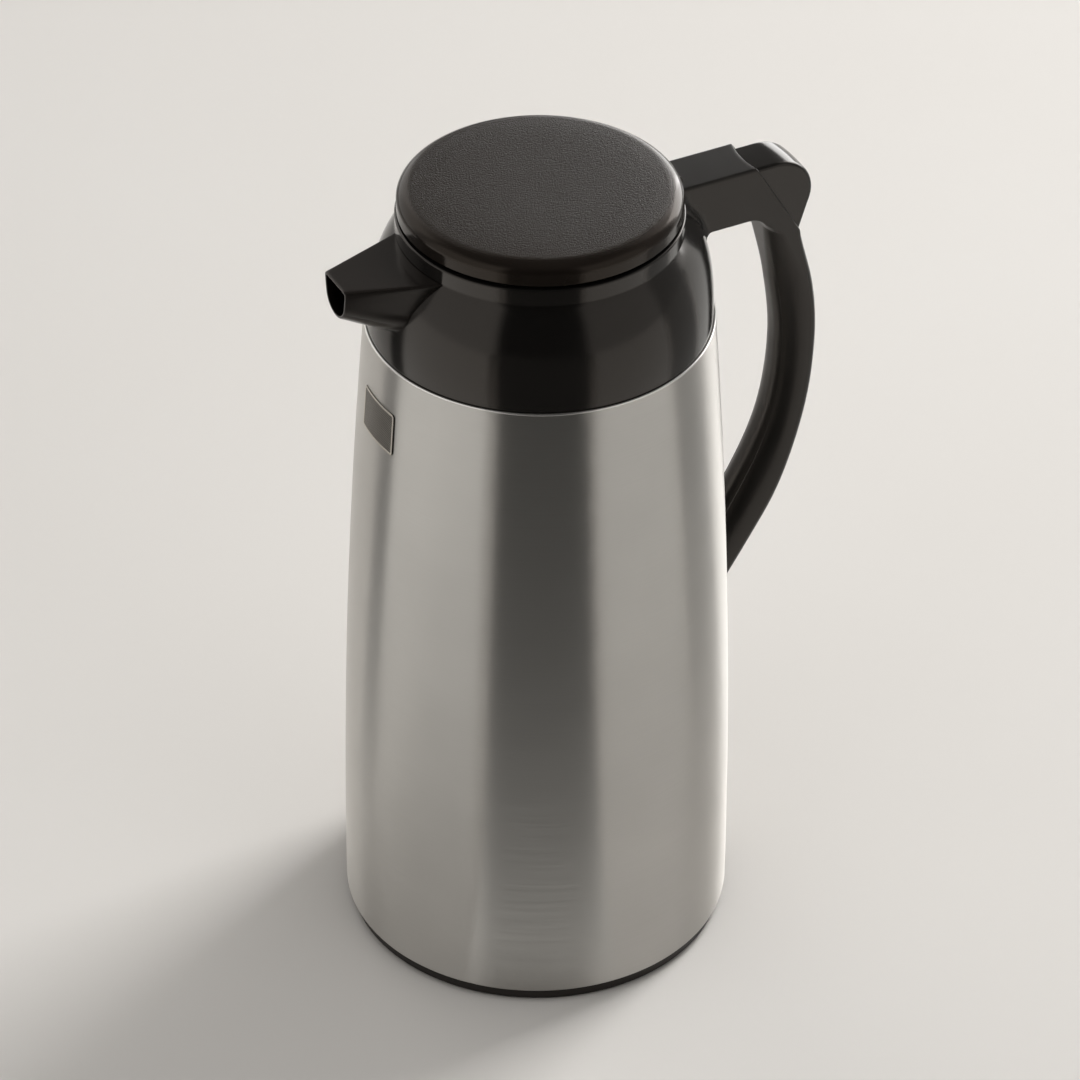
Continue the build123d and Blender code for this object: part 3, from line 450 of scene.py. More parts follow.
def makeSteelLip():
    # polished bead on the body's top edge: small circle carried round the axis
    s = steelSizes
    inwards, down, radius = s["bead"]
    circle = arcAround((s["seamRadius"] - inwards, s["seam"] - down), radius, 0, 360, 17)
    makePiece("steelLip", meshOf("steelLip", [turned(circle)]), "carafe", lipSteel, crease=60)


makeSteelBody()
makeSteelLip()
print("steel body made")

shoulderSizes = {
    # outer side from the seam to the top: end, two pulls, end
    "side": [(57.9, 244.4), (57.96, 246.3), (57.98, 265.2), (47.7, 279.4)],
    "hollow": [(56.24, 244.8), (56.24, 245.3), (55.58, 264.0), (44.6, 278.2)],
    "rimLow": 280.1, "rimTop": 285.8, "rimRadius": 48.0, "rimInner": 44.6, "rimRound": 0.7, "rimChamfer": 0.4,
    "skirtRadius": 57.84, "skirtWall": 2.2, "skirtLow": 234.8,
    # the lid's hinge: x, z and y of the notch in the rim, then the two ears, from earNear to earFar on either side
    "notch": (0, 60.0, 284.4, 290.0, -17.0, 17.0),
    "hingeX": 46.0, "hingeZ": 287.6, "earRadius": 2.6, "earNear": 5.3, "earFar": 8.8, "earLow": 282.6, "earFoot": 47.1,
    # the channel to the spout: (x, how far inside the spout's outer skin)
    "channel": [(-38.0, 2.05), (-62.0, 1.45)],
    # how far it swells, to how many degrees from the arm, where it starts and peaks, and the radius it takes in there
    "swell": 3.0, "swellTurn": 48.0, "swellStart": 0.5, "swellPeak": 269.5, "swellOutside": (56.9, 46.0),
}


def pulledCurve(corners, steps):
    # cubic curve: (1-t)^3 a + 3(1-t)^2 t b + 3(1-t) t^2 c + t^3 d
    a, b, c, d = [np.array(corner, float) for corner in corners]
    t = np.linspace(0, 1, steps)[:, None]
    return (1 - t) ** 3 * a + 3 * (1 - t) ** 2 * t * b + 3 * (1 - t) * t**2 * c + t**3 * d


def shoulderOuter(grow):
    # outer profile from the seam to the rim's top edge, grown outwards
    s = shoulderSizes
    x, z = s["side"][3]
    rim = bent([(x, z, 0), (x, s["rimLow"], 0), (s["rimRadius"], s["rimLow"] + 0.1, 0.1),
                (s["rimRadius"], s["rimTop"], s["rimRound"]), (s["rimInner"], s["rimTop"], 0)], 8)
    return np.concatenate([pulledCurve(s["side"], 40), rim[1:-1]]) + np.array((grow, 0))


def swollen(grid):
    # the side swells towards the arm: out by swell * cos^2 of the turn from the arm * sin^1.5 of the way up to the
    # peak and down again; what lies inside swellOutside stays
    s = shoulderSizes
    x, y, z = grid[..., 0], grid[..., 1], grid[..., 2]
    radius = np.hypot(x, y)
    turn = np.clip(np.degrees(np.abs(np.arctan2(y, x))) / s["swellTurn"], 0, 1)
    low, high, peak = s["side"][0][1] + s["swellStart"], s["side"][3][1], s["swellPeak"]
    up = np.where(z < peak, (z - low) / (peak - low), (high - z) / (high - peak))
    out = s["swell"] * np.cos(turn * math.pi / 2) ** 2 * np.sin(np.clip(up, 0, 1) * math.pi / 2) ** 1.5
    out = np.where(radius > np.interp(z, [low, high], s["swellOutside"]), out, 0)
    scale = 1 + out / np.maximum(radius, 1e-6)
    return np.stack([x * scale, y * scale, z], -1)


def makeShoulder():
    # turned profile: outer side, rim band, hollow, skirt in the steel; then the channel, notch and hinge ears
    s = shoulderSizes
    seam, skirtIn = s["side"][0][1], s["skirtRadius"] - s["skirtWall"]
    rim = [(s["rimInner"] + s["rimChamfer"], s["rimTop"]), (s["rimInner"], s["rimTop"] - s["rimChamfer"])]
    skirt = [(skirtIn, seam), (skirtIn, s["skirtLow"]), (s["skirtRadius"], s["skirtLow"]), (s["skirtRadius"], seam)]
    profile = np.concatenate([shoulderOuter(0), rim, pulledCurve(s["hollow"], 30)[::-1], skirt, shoulderOuter(0)[:1]])
    mesh = meshOf("shoulder", [(swollen(turned(profile)[0]), True)])
    mesh = cutAway(mesh, [block("notch", *s["notch"]), meshOf("channel", capped(spoutLoops(s["channel"])))])
    outline = [(s["earFoot"], s["earLow"])]
    outline += arcAround((s["hingeX"], s["hingeZ"]), s["earRadius"], 0, 180, 16).tolist()
    outline += [(s["hingeX"] - s["earRadius"], s["earLow"])]
    ears = [prism("ear", outline, *span) for span in eitherSide(s["earNear"], s["earFar"])]
    makePiece("shoulderMoulding", joined("shoulder", [mesh] + ears), "carafe", glossBlack,
              ("shoulder",), crease=35)


spoutSizes = {
    # at the root and at the tip: where it is, half the flat top, half width and drop of the U's ends, its full drop
    "top": 280.0, "rootX": -45.0, "tipX": -74.9, "root": (17.2, 12.7, 16.0, 30.2), "tip": (8.0, 7.0, 7.5, 13.3),
    "rootSoft": 0.35, "tipSoft": 1.25, "skinStart": -42.0,
    # the lip: (how far from the tip, inset); then the channel's wall at the lip, and how much it gains over a run
    # that stops this far short of the root
    "lip": [(0.12, 0.06), (0, 0.3), (0, 0.7), (0.12, 0.94), (0.4, 1.0)],
    "wall": 1.0, "wallGain": 1.2, "gainShort": 7,
}


def spoutSection(half, side, sideDrop, drop):
    # flat top, two sloping sides and a round bottom: the circle through both sides' ends and the lowest point
    rise = drop - sideDrop
    radius = (side**2 + rise**2) / (2 * rise)
    first = math.degrees(math.atan2(-sideDrop + drop - radius, side))
    bottom = arcAround((0, radius - drop), radius, first, -180 - first, 73)[:-1]
    top = np.stack([np.linspace(-half, half, 60, endpoint=False), np.zeros(60)], -1)
    t = np.linspace(0, 1, 24, endpoint=False)[:, None]
    right = (1 - t) * (half, 0) + t * (side, -sideDrop)
    left = (1 - t) * (-side, -sideDrop) + t * (-half, 0)
    return np.concatenate([top, right, bottom, left])


def soften(loops, width):
    # closed loops (across, up) blurred along themselves by a bell curve of this width in mm, by Fourier terms
    flat = loops[..., 0] + 1j * loops[..., 1]
    around = np.abs(flat - np.roll(flat, 1, -1)).sum(-1)
    waves = np.fft.fftfreq(flat.shape[-1]) * flat.shape[-1]
    blur = np.exp(-2 * (math.pi * waves * (width / around)[..., None]) ** 2)
    soft = np.fft.ifft(np.fft.fft(flat, axis=-1) * blur, axis=-1)
    return np.stack([soft.real, soft.imag], -1)


def spoutLoops(stations):
    # stations are (x, inset): each section is a blend of root and tip, shrunk by the inset
    s = spoutSizes
    loops = []
    for x, inset in stations:
        share = (x - s["rootX"]) / (s["tipX"] - s["rootX"])
        half, side, sideDrop, drop = [a + (b - a) * share for a, b in zip(s["root"], s["tip"])]
        loop = spoutSection(half - inset, side - inset, sideDrop - inset, drop - 2 * inset) + (0, s["top"] - inset)
        width = np.array(s["rootSoft"] + (s["tipSoft"] - s["rootSoft"]) * min(max(share, 0.0), 1.0))
        loops.append(np.insert(soften(loop, max(0.15, width - inset * 0.3)), 0, x, axis=-1))
    return np.array(loops)


def makeSpout():
    # outer skin from inside the shoulder to the tip, a rounded lip, and the channel back inside
    s = spoutSizes
    tip, start, run = s["tipX"], s["skinStart"], s["rootX"] + s["gainShort"] - s["tipX"]
    outside = [(x, 0.0) for x in np.linspace(start, tip + 0.35, 24)]
    lip = [(tip + back, inset) for back, inset in s["lip"]]
    inside = [(x, s["wall"] + s["wallGain"] * (x - tip) / run) for x in np.linspace(tip + 1.0, start, 16)]
    loops = spoutLoops(outside + lip + inside)
    mesh = meshOf("spout", [(np.concatenate([loops, loops[:1]]), True)])
    profile = np.concatenate([[(0, steelSizes["seam"])], shoulderOuter(0.05), [(0, shoulderSizes["rimTop"])]])
    mesh = cutAway(mesh, [meshOf("shoulderForm", [turned(profile)])])
    makePiece("spoutMoulding", mesh, "carafe", spoutBlack, ("spout",), crease=35)


makeShoulder()
makeSpout()
print("shoulder and spout made")

lidSizes = {
    "radius": 47.4, "low": 287.0, "top": 295.4, "edgeRound": 4.2, "wall": 2.0, "lowRound": 0.45, "crown": 0.9,
    # radii where the edge's profile ends and the flat top starts; the same for the ceiling
    "roundAcross": 5.5, "flat": (38.0, 37.0), "ceiling": (36.0, 20.0), "ceilingStep": 0.5, "ceilingRound": 3.0,
    # the room for the hinge ears: its x and z, from roomNear to roomFar on either side; the pin's hole between them
    "room": (43.1, 60.0, 280.0, 291.5), "roomNear": 5.0, "roomFar": 9.1,
    "pin": 1.25, "pinReach": 9,
}


def makeLidCap():
    # turned shell with a rounded edge, less the room for the hinge ears, with a knuckle between them
    s = lidSizes
    r, low, top, wall = s["radius"], s["low"], s["top"], s["wall"]
    outer = bent([(r - wall, low, 0), (r, low, s["lowRound"]), (r, top, s["edgeRound"]), (s["flat"][0], top, 0)], 18)
    # the edge's quarter circle is stretched inwards to roundAcross
    rounding = (outer[:, 1] > low + 1) & (outer[:, 0] > r - s["edgeRound"] - 0.01)
    outer[:, 0] = np.where(rounding, r - (r - outer[:, 0]) * s["roundAcross"] / s["edgeRound"], outer[:, 0])
    outer = np.concatenate([outer, np.stack([np.linspace(s["flat"][1], 0, 16), np.full(16, top)], -1)])
    # the top falls away by crown * (r / radius)^5 before it turns down
    outer[:, 1] -= s["crown"] * (outer[:, 0] / r) ** 5 * np.clip((outer[:, 1] - low) / (top - low), 0, 1)
    under = top - wall - s["ceilingStep"]
    inner = bent([(s["ceiling"][0], under, 0), (r - wall, under, s["ceilingRound"]), (r - wall, low, 0)], 12)
    middle = [(0.0, top - wall), (s["ceiling"][1], top - wall)]
    mesh = meshOf("lidCap", [turned(np.concatenate([outer, middle, inner]))])
    x, z = shoulderSizes["hingeX"], shoulderSizes["hingeZ"]
    near = s["roomNear"]
    mesh = cutAway(mesh, [block("room", *s["room"], *span) for span in eitherSide(near, s["roomFar"])])
    knuckle = crossBar("knuckle", shoulderSizes["earRadius"], -near, near, x, z)
    hole = crossBar("hole", s["pin"], -s["pinReach"], s["pinReach"], x, z)
    makePiece("lidCap", joined("lidCap", [mesh, cutAway(knuckle, [hole])]), "lid", grainedBlack,
              ("lid_cap",), crease=35)


makeLidCap()
print("lid cap made")

handleSizes = {
    "half": 9.35, "top": 284.4, "low": 264.0, "bendX": 74.0, "bendRadius": 8.3, "bendEnd": 13.2,
    "partTop": (76.9, 284.4), "partLow": (94.35, 254.9),
    # where the arm's sections stand, and how many: closest over the flare
    "armSections": ((40.0, 46.0, 4), (46.7, 64.0, 26), (65.0, 74.0, 9)),
    # the open end's bow, and from which x and height it grows
    "bow": 1.5, "bowFrom": (64.0, 262.0),
    # the arm's flare: its radius, where it ends, and the shoulder's radius at four heights
    "flare": 3.5, "flareEnd": 66.0, "shoulderAt": ((250, 264, 272, 279.4), (58.5, 57.4, 54.2, 48.7)),
    "outer": [(100.9, 231.3), (102.8, 208.0), (99.8, 180.0), (90.6, 150.2), (77.2, 127.0), (60.0, 101.5)],
    "inner": [(86.7, 234.0), (89.7, 207.5), (86.2, 178.2), (74.5, 151.5), (55.8, 122.3)],
    # edge rounds, the grip's inner ones oval: across, and how deep they reach as a share of its side
    "topRound": 1.2, "partRound": 1.1, "backRound": 3.4, "underRound": 0.9, "gripRound": 8.5, "gripDeep": 0.98,
    # how many sections before the bend's end the grip's rounds start to grow, and over how many
    "backGrows": (8, 14), "underGrows": (20, 36),
    "coverHalf": 5.3, "coverDepth": 2.0, "coverGap": 0.03, "coverStart": 5, "coverEnd": 0.93,
    # the lever's pocket: front, back, floor and ceiling, and twice (wall beside it, wall round the bend, floor's start)
    "pocket": (68.0, 120.0, 253.7, 283.6), "pocketWalls": ((1.0, 4.4, 87.6), (3.85, 1.9, 84.2)),
    # the arm's tunnel and the guide in it: ends, wall, half width; then the rod's height and its hole's radius
    "inArm": ((30.0, 69.0, 2.2, 7.15), (58.0, 60.0, 1.0, 8.0)), "rodHeight": 272.5, "rodHole": 2.48,
    "formLow": 60.0, "formGap": 0.05,
}


def handleSides():
    # the two long sides as matching points: along the arm, round the bend and down the grip; and where the bend ends
    s = handleSizes
    x = np.concatenate([np.linspace(*stretch) for stretch in s["armSections"]])
    armOuter, armInner = [np.stack([x, np.full(len(x), z)], -1) for z in (s["top"], s["low"])]
    gripOuter = smoothLine([s["partLow"]] + s["outer"], 240)
    bend = arcAround((s["bendX"], s["low"] - s["bendRadius"]), s["bendRadius"], 90, s["bendEnd"], 30)
    gripInner = smoothLine([tuple(bend[-1])] + s["inner"], 240)
    part = bent([(s["bendX"], s["top"], 0), (*s["partTop"], 0.9), (*s["partLow"], 3.0), (*gripOuter[6], 0)], 12)
    outer = np.concatenate([armOuter, evenly(part, 60)[1:], evenly(gripOuter[6:], 90)[1:]])
    inner = np.concatenate([armInner, evenly(bend, 60)[1:], evenly(gripInner, 90)[1:]])
    return outer, inner, len(armOuter) + 59


def ease(t):
    # 3t^2 - 2t^3 between 0 and 1, and held at both ends
    t = np.clip(t, 0, 1)
    return t * t * (3 - 2 * t)


def handleRounds(outer, inner, bendTo):
    # edge rounds on the outer and inner side at each section
    s = handleSizes
    i = np.arange(len(outer))[:, None]
    part = ease((outer[:, :1] - (s["partTop"][0] - 3)) / 3)
    early, late = [ease((i - bendTo + before) / over) for before, over in (s["backGrows"], s["underGrows"])]
    back = s["topRound"] + (s["partRound"] - s["topRound"]) * part
    back = back + (s["backRound"] - back) * early
    under = s["underRound"] + (s["gripRound"] - s["underRound"]) * late
    side = between(outer, inner)[0] - back
    deep = s["underRound"] + (s["gripDeep"] * side - s["underRound"]) * late
    return back, under, deep


def handleLoops():
    # section loop at each station: across is y, down runs from the outer to the inner side
    s = handleSizes
    outer, inner, bendTo = handleSides()
    back, under, deep = handleRounds(outer, inner, bendTo)
    depth, along = between(outer, inner)
    half, top, low = s["half"], s["top"], s["low"]
    p, q = quarter(9), quarter(17)
    flat = np.linspace(-1, 1, 15)[None, 1:-1]
    flank = back + (depth - back - deep) * np.linspace(0, 1, 26)[None, 1:-1]
    sideY = [half - back + back * np.sin(p), half + 0 * flank, half - under + under * np.cos(q)]
    sideD = [back - back * np.cos(p), flank, depth - deep + deep * np.sin(q)]
    y, d = ringOf((flat * (half - back), 0 * flat * back), [np.concatenate(part, 1) for part in (sideY, sideD)],
                  (-flat * (half - under), depth + 0 * flat))
    x, z = sunk(outer, along, d)
    # the open end is bowed: its middle lies forward of its edges, most at the top
    fromX, fromZ = s["bowFrom"]
    near = np.clip((x - fromX) / (s["partTop"][0] - fromX), 0, 1) * np.clip((z - fromZ) / (top - fromZ), 0, 1) ** 2
    x = x - s["bow"] * (1 - (y / half) ** 2) * np.where(d < 2.0, near, 0)
    # flare where the arm meets the shoulder: a quarter circle of this radius on the sides and underside
    gap = np.hypot(x, y) - np.interp(z, *s["shoulderAt"])
    t = np.clip(1 - gap / s["flare"], 0, 1)
    out = s["flare"] * (1 - np.sqrt(1 - np.minimum(t, 0.98) ** 2)) * ease((top - 1 - z) / 3) * (x < s["flareEnd"])
    y = y + np.sign(y) * out * ease((np.abs(y) - half + 3) / 2)
    return np.stack([x, y, z - out * (1 - ease((z - low - 2) / 5))], -1)


def coverLoops(grow):
    # strip let into the grip's inner side: one face follows its surface, the other lies coverDepth under it
    s = handleSizes
    outer, inner, bendTo = handleSides()
    pick = slice(bendTo + s["coverStart"], bendTo + int(s["coverEnd"] * (len(inner) - bendTo)))
    depth, along = [each[pick] for each in between(outer, inner)]
    under, deep = [each[pick] for each in handleRounds(outer, inner, bendTo)[1:]]
    half = s["coverHalf"] + grow
    y = np.linspace(-half, half, 15)[None, :]
    over = np.clip(np.abs(y) - (s["half"] - under), 0, None)
    fall = deep * (1 - np.sqrt(np.maximum(1 - (over / under) ** 2, 0)))
    face = depth - fall + (1.0 if grow else 0.0)  # the seat's cutter stands proud
    back = depth - s["coverDepth"] - grow + 0 * y
    d = np.concatenate([face, back[:, ::-1]], 1)
    x, z = sunk(outer[pick], along, d)
    loops = np.stack([x, np.concatenate([y, y[:, ::-1]], 1) + 0 * d, z], -1)
    for end, beside in ((0, 1), (-1, -2)):
        step = loops[end] - loops[beside]
        loops[end] += grow * step / np.linalg.norm(step, axis=1)[:, None]
    return loops


def makeHandle():
    # section carried along the arm and grip; less the body, the lever's pocket, the arm's tunnel and the cover's seat
    s = handleSizes
    low, top = s["low"], s["top"]
    front, back, floorZ, ceiling = s["pocket"]
    mesh = meshOf("handle", capped(handleLoops()))
    z = np.linspace(s["formLow"], steelSizes["seam"] + 0.1, 60)
    form = np.concatenate([[(0, s["formLow"])], np.stack([steelRadius(z) + s["formGap"], z], -1),
                           shoulderOuter(s["formGap"])[1:], [(0, shoulderSizes["rimTop"])]])
    cutters = [meshOf("bodyForm", [(swollen(turned(form)[0]), True)])]
    # the lever's pocket is wide behind its sides, and narrower where it nears the rounded bend
    for beside, wall, floorX in s["pocketWalls"]:
        outline = arcAround((s["bendX"], low - s["bendRadius"]), s["bendRadius"] + wall, 20, 90, 14).tolist()
        outline += [(front, low + wall), (front, ceiling), (back, ceiling), (back, floorZ), (floorX, floorZ)]
        cutters.append(prism("pocket", outline, beside - s["half"], s["half"] - beside))
    tunnel, guide = [block("inArm", x1, x2, low + wall, top - wall, -half, half) for x1, x2, wall, half in s["inArm"]]
    mesh = cutAway(mesh, cutters + [tunnel, meshOf("seat", capped(coverLoops(s["coverGap"])))])
    # the rod's hole is drawn along y and turned to lie along x, which is why its faces are turned outwards again
    hole = prism("hole", arcAround((0, s["rodHeight"]), s["rodHole"], 0, 348, 30), 50, 70)
    hole.transform(Matrix(((0, 1, 0, 0), (1, 0, 0, 0), (0, 0, 1, 0), (0, 0, 0, 1))))
    tidyMesh(hole, 1e-7)
    mesh = joined("handle", [mesh, cutAway(guide, [hole])])
    makePiece("handleMoulding", mesh, "carafe", handleBlack, ("handle",), crease=32)
    cover = meshOf("gripCover", capped(coverLoops(0.0)))
    makePiece("gripCover", cover, "carafe", handleBlack, ("handle_cover",), crease=40)


leverSizes = {
    "half": 8.05, "top": 283.3, "endX": 85.0, "endZ": 270.1, "endAcross": 14.3, "endUp": 13.2, "endTurn": -20.0,
    "front": 73.6, "tip": (94.9, 254.3), "edgeRound": 1.6, "crown": 0.35, "wall": 1.8,
    # the front edge that lies in the pocket, between its first point under the top and its last beside the tip
    "frontDrop": 1.6, "underArm": [(79.5, 272.0), (85.2, 265.6)], "tipBack": (3.6, 0.5),
    # the bow: how far, from which x and height it grows, and over what lengths
    "bow": 1.4, "bowFrom": (80.0, 262.0), "bowOver": (6.4, 21.0),
    "hollowFront": 60.0, "hollowTip": 1.9,
    "pin": (87.4, 260.2), "bossRadius": 2.9, "bossHalf": 5.0, "bossClear": 0.3,
    "nose": (79.3, 272.5), "noseRadius": 2.0, "noseHalf": 4.0, "webHalf": 2.0,
    # the web's outline: from which point, how far across and up
    "web": [("pin", -2.2, 1.4), ("pin", 0, -2.0), ("tip", -1.2, 1.6), ("tip", 1.7, 11.7), ("tip", -0.9, 18.7),
            ("nose", 0, 2.0), ("nose", -1.6, -1.2)],
}


def endCurve(inset, first, steps):
    # the lever's rounded end, this far inside its outer line: part of an ellipse
    s = leverSizes
    a = np.radians(np.linspace(first, s["endTurn"], steps))
    across, up = s["endAcross"] - inset, s["endUp"] - inset
    return np.stack([s["endX"] + across * np.cos(a), s["endZ"] + up * np.sin(a)], -1)


def leverSides():
    # top, rounded end and back as one line, and the front edge that tucks under the arm, as matching points
    s = leverSizes
    outer = np.concatenate([[(s["front"], s["top"])], endCurve(0, 90, 48), [s["tip"]]])
    back, up = s["tipBack"]
    inner = [(s["front"], s["top"] - s["frontDrop"])] + s["underArm"] + [(s["tip"][0] - back, s["tip"][1] + up)]
    return evenly(outer, 110), evenly(np.array(inner), 110)


def makeLever():
    # section loop at each station from the outer line to the front edge, with rounded outer edges and a slight crown
    s = leverSizes
    half, wall = s["half"], s["wall"]
    outer, inner = leverSides()
    depth, along = between(outer, inner)
    edge = np.minimum(s["edgeRound"], depth * 0.6)
    q = quarter(9)
    flat = np.linspace(-1, 1, 17)[None, 1:-1]
    sideY = np.concatenate([half - edge + edge * np.sin(q), half + 0 * depth], 1)
    sideD = np.concatenate([edge - edge * np.cos(q), depth], 1)
    y, d = ringOf((flat * (half - edge), 0 * flat * depth), (sideY, sideD),
                  (-flat * half + 0 * depth, depth + 0 * flat))
    d = d + s["crown"] * (y / half) ** 2 * (d < 0.5 * depth)
    x, z = sunk(outer, along, d)
    (fromX, fromZ), (overX, overZ) = s["bowFrom"], s["bowOver"]
    x = x - s["bow"] * (1 - (y / half) ** 2) * np.clip((fromX - x) / overX, 0, 1) * np.clip((z - fromZ) / overZ, 0, 1)
    mesh = meshOf("thumbLever", capped(np.stack([x, y, z], -1)))
    front, under = s["hollowFront"], s["top"] - wall
    tipX, tipZ = s["tip"][0] - s["hollowTip"], s["tip"][1] + s["hollowTip"]
    hollow = [(front, under), (s["endX"], under)] + endCurve(wall, 88, 24).tolist() + [(tipX, tipZ), (front, tipZ)]
    cutters = [prism("hollow", hollow, -half + wall, half - wall)]
    for span in eitherSide(s["bossHalf"] - 0.5, half + 1):
        cutters.append(crossBar("clear", s["bossRadius"] + s["bossClear"], *span, *s["pin"]))
    outline = [(s[point][0] + across, s[point][1] + up) for point, across, up in s["web"]]
    web = prism("web", outline, -s["webHalf"], s["webHalf"])
    boss = crossBar("boss", s["bossRadius"], -s["bossHalf"], s["bossHalf"], *s["pin"])
    nose = crossBar("nose", s["noseRadius"], -s["noseHalf"], s["noseHalf"], *s["nose"])
    mesh = joined("thumbLever", [cutAway(mesh, cutters), web, boss, nose])
    makePiece("thumbLever", mesh, "thumb_lever", leverBlack, ("thumb_lever",), crease=35)


makeHandle()
makeLever()
print("handle and lever made")

badgeSizes = {
    "width": 21.2, "height": 15.9, "low": 212.5, "corner": 1.2, "bodyRadius": 60.5, "borderFrom": 0.43,
    # how far in from the edge, and how high the face is there: flat back, edge, raised border, sunk face
    "relief": [(7.95, 0.1), (6.0, 0.1), (3.0, 0.1), (0.0, 0.1), (0.0, 0.4), (0.12, 0.5), (0.75, 0.5), (0.95, 0.36),
               (3.0, 0.36), (6.0, 0.36), (7.95, 0.36)],
}


def makeBadge():
    # rounded rectangles shrinking inwards, wrapped on the body: azimuth = across / bodyRadius, raised as in relief
    s = badgeSizes
    loops = []
    for inset, height in s["relief"]:
        w, h = s["width"] / 2 - inset, s["height"] / 2 - inset
        r = max(min(s["corner"] - inset, h, w), 0.0)
        t = np.linspace(0, 1, 24, endpoint=False)[:, None]
        sides = []
        for k, (cx, cy) in enumerate([(w - r, h - r), (-w + r, h - r), (-w + r, -h + r), (w - r, -h + r)]):
            arc = arcAround((cx, cy), r, 90 * k, 90 * k + 90, 7)
            nx, ny = [(-w + r, h), (-w, -h + r), (w - r, -h), (w, h - r)][k]
            sides += [arc[:-1], (1 - t) * arc[-1] + t * (nx, ny)]
        loop = np.concatenate(sides)
        z = s["low"] + s["height"] / 2 + loop[:, 1]
        radius = steelRadius(z) + height
        angle = math.pi - loop[:, 0] / s["bodyRadius"]
        loops.append(np.stack([radius * np.cos(angle), radius * np.sin(angle), z], -1))
    mesh = meshOf("badgePlate", [(np.array(loops), True)])
    # rim is 1 on the raised border and 0 on the face
    spots = np.empty(len(mesh.vertices) * 3)
    mesh.vertices.foreach_get("co", spots)
    spots = spots.reshape(-1, 3) * 1000
    raised = np.hypot(spots[:, 0], spots[:, 1]) - steelRadius(spots[:, 2])
    rim = mesh.attributes.new("rim", "FLOAT", "POINT")
    rim.data.foreach_set("value", (raised > s["borderFrom"]).astype(float))
    makePiece("badgePlate", mesh, "carafe", badgeMetal, ("badge_plate",))


makeBadge()
print("badge made")

springSizes = {
    # ends: where it starts and stops on its own line; keep is the share of its length left when the lever is down
    "rodSpring": {"ends": (60.2, 70.2), "height": 272.5, "coil": 3.6, "wire": 0.45, "turns": 7, "keep": 0.757},
    "valveSpring": {"ends": (262.2, 275.8), "coil": 5.5, "wire": 0.5, "turns": 6, "keep": 0.632},
}


def springLoops(sizes):
    # ring of wire round each point of a helix: angle a, height by turns, closed up to a wire's width at both end turns
    turns, wire = sizes["turns"], sizes["wire"]
    a = np.linspace(0, 2 * math.pi * turns, 44 * turns)[:, None]
    low, high, close = sizes["ends"][0] + wire, sizes["ends"][1] - wire, 2.04 * wire
    h = np.interp(a / (2 * math.pi), [0, 1, turns - 1, turns], [low, low + close, high - close, high])
    q = np.linspace(0, 2 * math.pi, 12, endpoint=False)[None, :]
    r = sizes["coil"] + wire * np.cos(q)
    return r * np.cos(a), r * np.sin(a), h + wire * np.sin(q)


def makeSprings():
    # the rod's spring lies along x and stands against the arm's guide; the valve's stands along z under the lid
    s = springSizes["rodSpring"]
    across, up, along = springLoops(s)
    mesh = meshOf("rodSpring", capped(np.stack([along, across, up + s["height"]], -1)))
    piece = makePiece("rodSpring", mesh, "carafe", smallSteel, ("rod_spring",), crease=60)
    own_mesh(piece)
    s = springSizes["valveSpring"]
    mesh = meshOf("valveSpring", capped(np.stack(springLoops(s), -1)))
    piece = makePiece("valveSpring", mesh, "lid", smallSteel, ("valve_spring",), crease=60)
    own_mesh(piece)


makeSprings()
print("springs made")

# the frame's nodes that stay as they are, by finish
keptFinish = (
    (footBlack, ("base_ring", "base_cover")),
    (darkRubber, ("liner_cushion", "liner_spacers")),
    (flaskGlass, ("liner_outer_glass", "liner_inner_glass")),
    (paleRubber, ("neck_gasket", "stopper_gasket", "valve_gasket")),
    (glossBlack, ("bowl_floor",)),
    (greyMoulding, ("rod_bushing", "push_rod", "lid_inner", "stopper_cup", "valve_plug", "rocker")),
    (smallSteel, ("handle_upper_screws", "handle_lower_screw", "handle_washer", "lever_pin", "lid_hinge_pin",
                  "valve_stem", "rocker_pin")),
)
for finish, nodeNames in keptFinish:
    for nodeName in nodeNames:
        for slotItem in cadNodes[nodeName].material_slots:
            slotItem.material = finish
print("kept pieces dressed")

floorReach = 6.0


def makeFloor():
    # pale paper sweep: one square face under the part
    mesh = bpy.data.meshes.new("floorMesh")
    corners = [(x * floorReach, y * floorReach, 0) for x, y in ((-1, -1), (1, -1), (1, 1), (-1, 1))]
    mesh.from_pydata(corners, [], [(0, 1, 2, 3)])
    floor = placed("floor", mesh)
    paper, tree, place = newMaterial("palePaper")
    tint = mixed(tree, noise(tree, place, 3.0, 3.0), linear("#d7d3ce"), linear("#dbd8d4"))
    mesh.materials.append(finished(paper, {"Base Color": tint, "Roughness": 0.85, "Specular IOR Level": 0.2}))


makeFloor()

